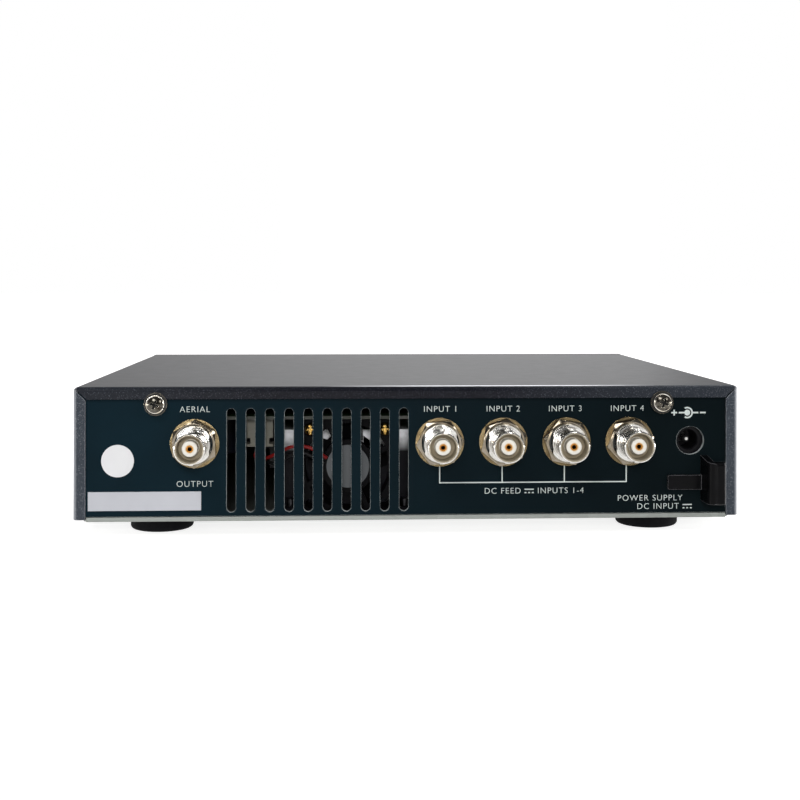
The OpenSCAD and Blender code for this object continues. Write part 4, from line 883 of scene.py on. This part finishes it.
def floor_material():
    """Pale floor, dim in front, that glows white to the camera, in mirrors and through glass."""
    s = Surface("floor")
    s.set(Base_Color=s.mix(s.span(s.axis("Y"), *FLOOR_FADE), FLOOR_TONE, FLOOR_DIM))
    s.set(Roughness=FLOOR_ROUGHNESS, Specular_IOR_Level=FLOOR_SPECULAR)
    rays = s.node("ShaderNodeLightPath").outputs
    seen = s.either(*(rays[kind] for kind in BACKGROUND_RAYS))
    away = s.vector("LENGTH", s.place)["Value"]
    glow = s.node("ShaderNodeEmission", Color=WHITE, Strength=s.both(seen, s.span(away, *FLOOR_GLOW)))
    lit = s.node("ShaderNodeAddShader")
    s.feed(lit.inputs[0], s.shader.outputs["BSDF"])
    s.feed(lit.inputs[1], glow.outputs["Emission"])
    s.feed(s.nodes["Material Output"].inputs["Surface"], lit.outputs["Shader"])
    return s.material


bpy.ops.mesh.primitive_plane_add(size=2 * FLOOR_HALF, location=(0, 0, 0))
floor = bpy.context.object
floor.name = "floor"
floor.data.materials.append(floor_material())

# Brightness of the room, as a fade along each direction: start, end and the strength at both
ROOM_BEHIND = (-0.1, 0.8, 0.03, 1.15)
ROOM_LEFT = (-0.35, 0.1, 0.5, 1.0)
ROOM_RIGHT = (0.235, 0.29, 1.0, 0.5)
ROOM_ABOVE = (0.3, 0.9, 0.0, 0.08)
ROOM_ASIDE = (0.75, 0.95, 0.0, 0.3)


def studio_world():
    """White to the camera; as a lamp and in mirrors, a room that is bright behind the object."""
    world = bpy.data.worlds.new("studio")
    bpy.context.scene.world = world
    world.use_nodes = True
    w = Nodes(world.node_tree, clamp=False)
    way = w.node("ShaderNodeTexCoord").outputs["Generated"]
    x, y, z = w.node("ShaderNodeSeparateXYZ", Vector=way).outputs

    def ramp(value, ends):
        return w.span(value, *ends, curve="SMOOTHSTEP")

    behind = w.both(ramp(y, ROOM_BEHIND), ramp(x, ROOM_LEFT), ramp(x, ROOM_RIGHT))
    room = w.math("ADD", behind, ramp(z, ROOM_ABOVE))
    room = w.math("ADD", room, ramp(w.math("ABSOLUTE", x), ROOM_ASIDE))
    seen = w.node("ShaderNodeLightPath").outputs["Is Camera Ray"]
    background = w.nodes["Background"]
    w.feed(background.inputs["Strength"], w.either(seen, room))
    w.feed(background.inputs["Color"], WHITE)


# Lamps: place, width and height, watts
LAMPS = {
    "lamp_top": ((0.2, 0.05, 0.9), (0.7, 0.08), 2.0),
    "lamp_rear": ((0.15, 0.42, 0.8), (0.6, 0.14), 4.0),
    "lamp_left": ((-0.32, -0.75, 0.72), (0.4, 0.3), 2.6),
    "lamp_right": ((0.7, -0.65, 0.5), (0.15, 0.25), 1.6),
    "lamp_front": ((-0.02, -0.92, 0.27), (0.14, 0.12), 3.3),
    "lamp_low": ((-0.1, -0.9, 0.022), (0.5, 0.04), 1.2),
    "strip_left": ((-0.4, -0.08, 0.022), (0.2, 0.04), 0.3),
    "strip_right": ((0.4, -0.08, 0.022), (0.2, 0.04), 0.35),
}
LAMP_TARGET = Vector((0.0, 0.0, 0.03))
# Lamps that leave no highlight
UNMIRRORED = ("lamp_front",)


def soft_lamp(name, place, size, watts):
    """A rectangular lamp that faces the object."""
    lamp = bpy.data.lights.new(name, "AREA")
    lamp.shape = "RECTANGLE"
    lamp.size, lamp.size_y = size
    lamp.energy = watts
    made = bpy.data.objects.new(name, lamp)
    bpy.context.scene.collection.objects.link(made)
    made.location = place
    made.visible_camera = False
    made.visible_glossy = name not in UNMIRRORED
    made.rotation_euler = (LAMP_TARGET - Vector(place)).to_track_quat("-Z", "Y").to_euler()


studio_world()
for lamp_name, lamp_look in LAMPS.items():
    soft_lamp(lamp_name, *lamp_look)

camera_data = bpy.data.cameras.new("camera")
camera_data.sensor_width = SENSOR
camera_data.lens = FOCAL_PIXELS / PICTURE * SENSOR
camera_data.shift_y = (AXIS_ROW - PICTURE / 2) / PICTURE
camera_data.clip_start = CLIP_START
camera = bpy.data.objects.new("camera", camera_data)
bpy.context.scene.collection.objects.link(camera)
camera.location = CAMERA_PLACE
aim = Matrix.Rotation(-CAMERA_YAW, 4, "Z") @ UPRIGHT
camera.rotation_euler = (aim @ Matrix.Rotation(CAMERA_ROLL, 4, "Z")).to_euler()
bpy.context.scene.camera = camera
bpy.context.scene.view_settings.view_transform = "Standard"
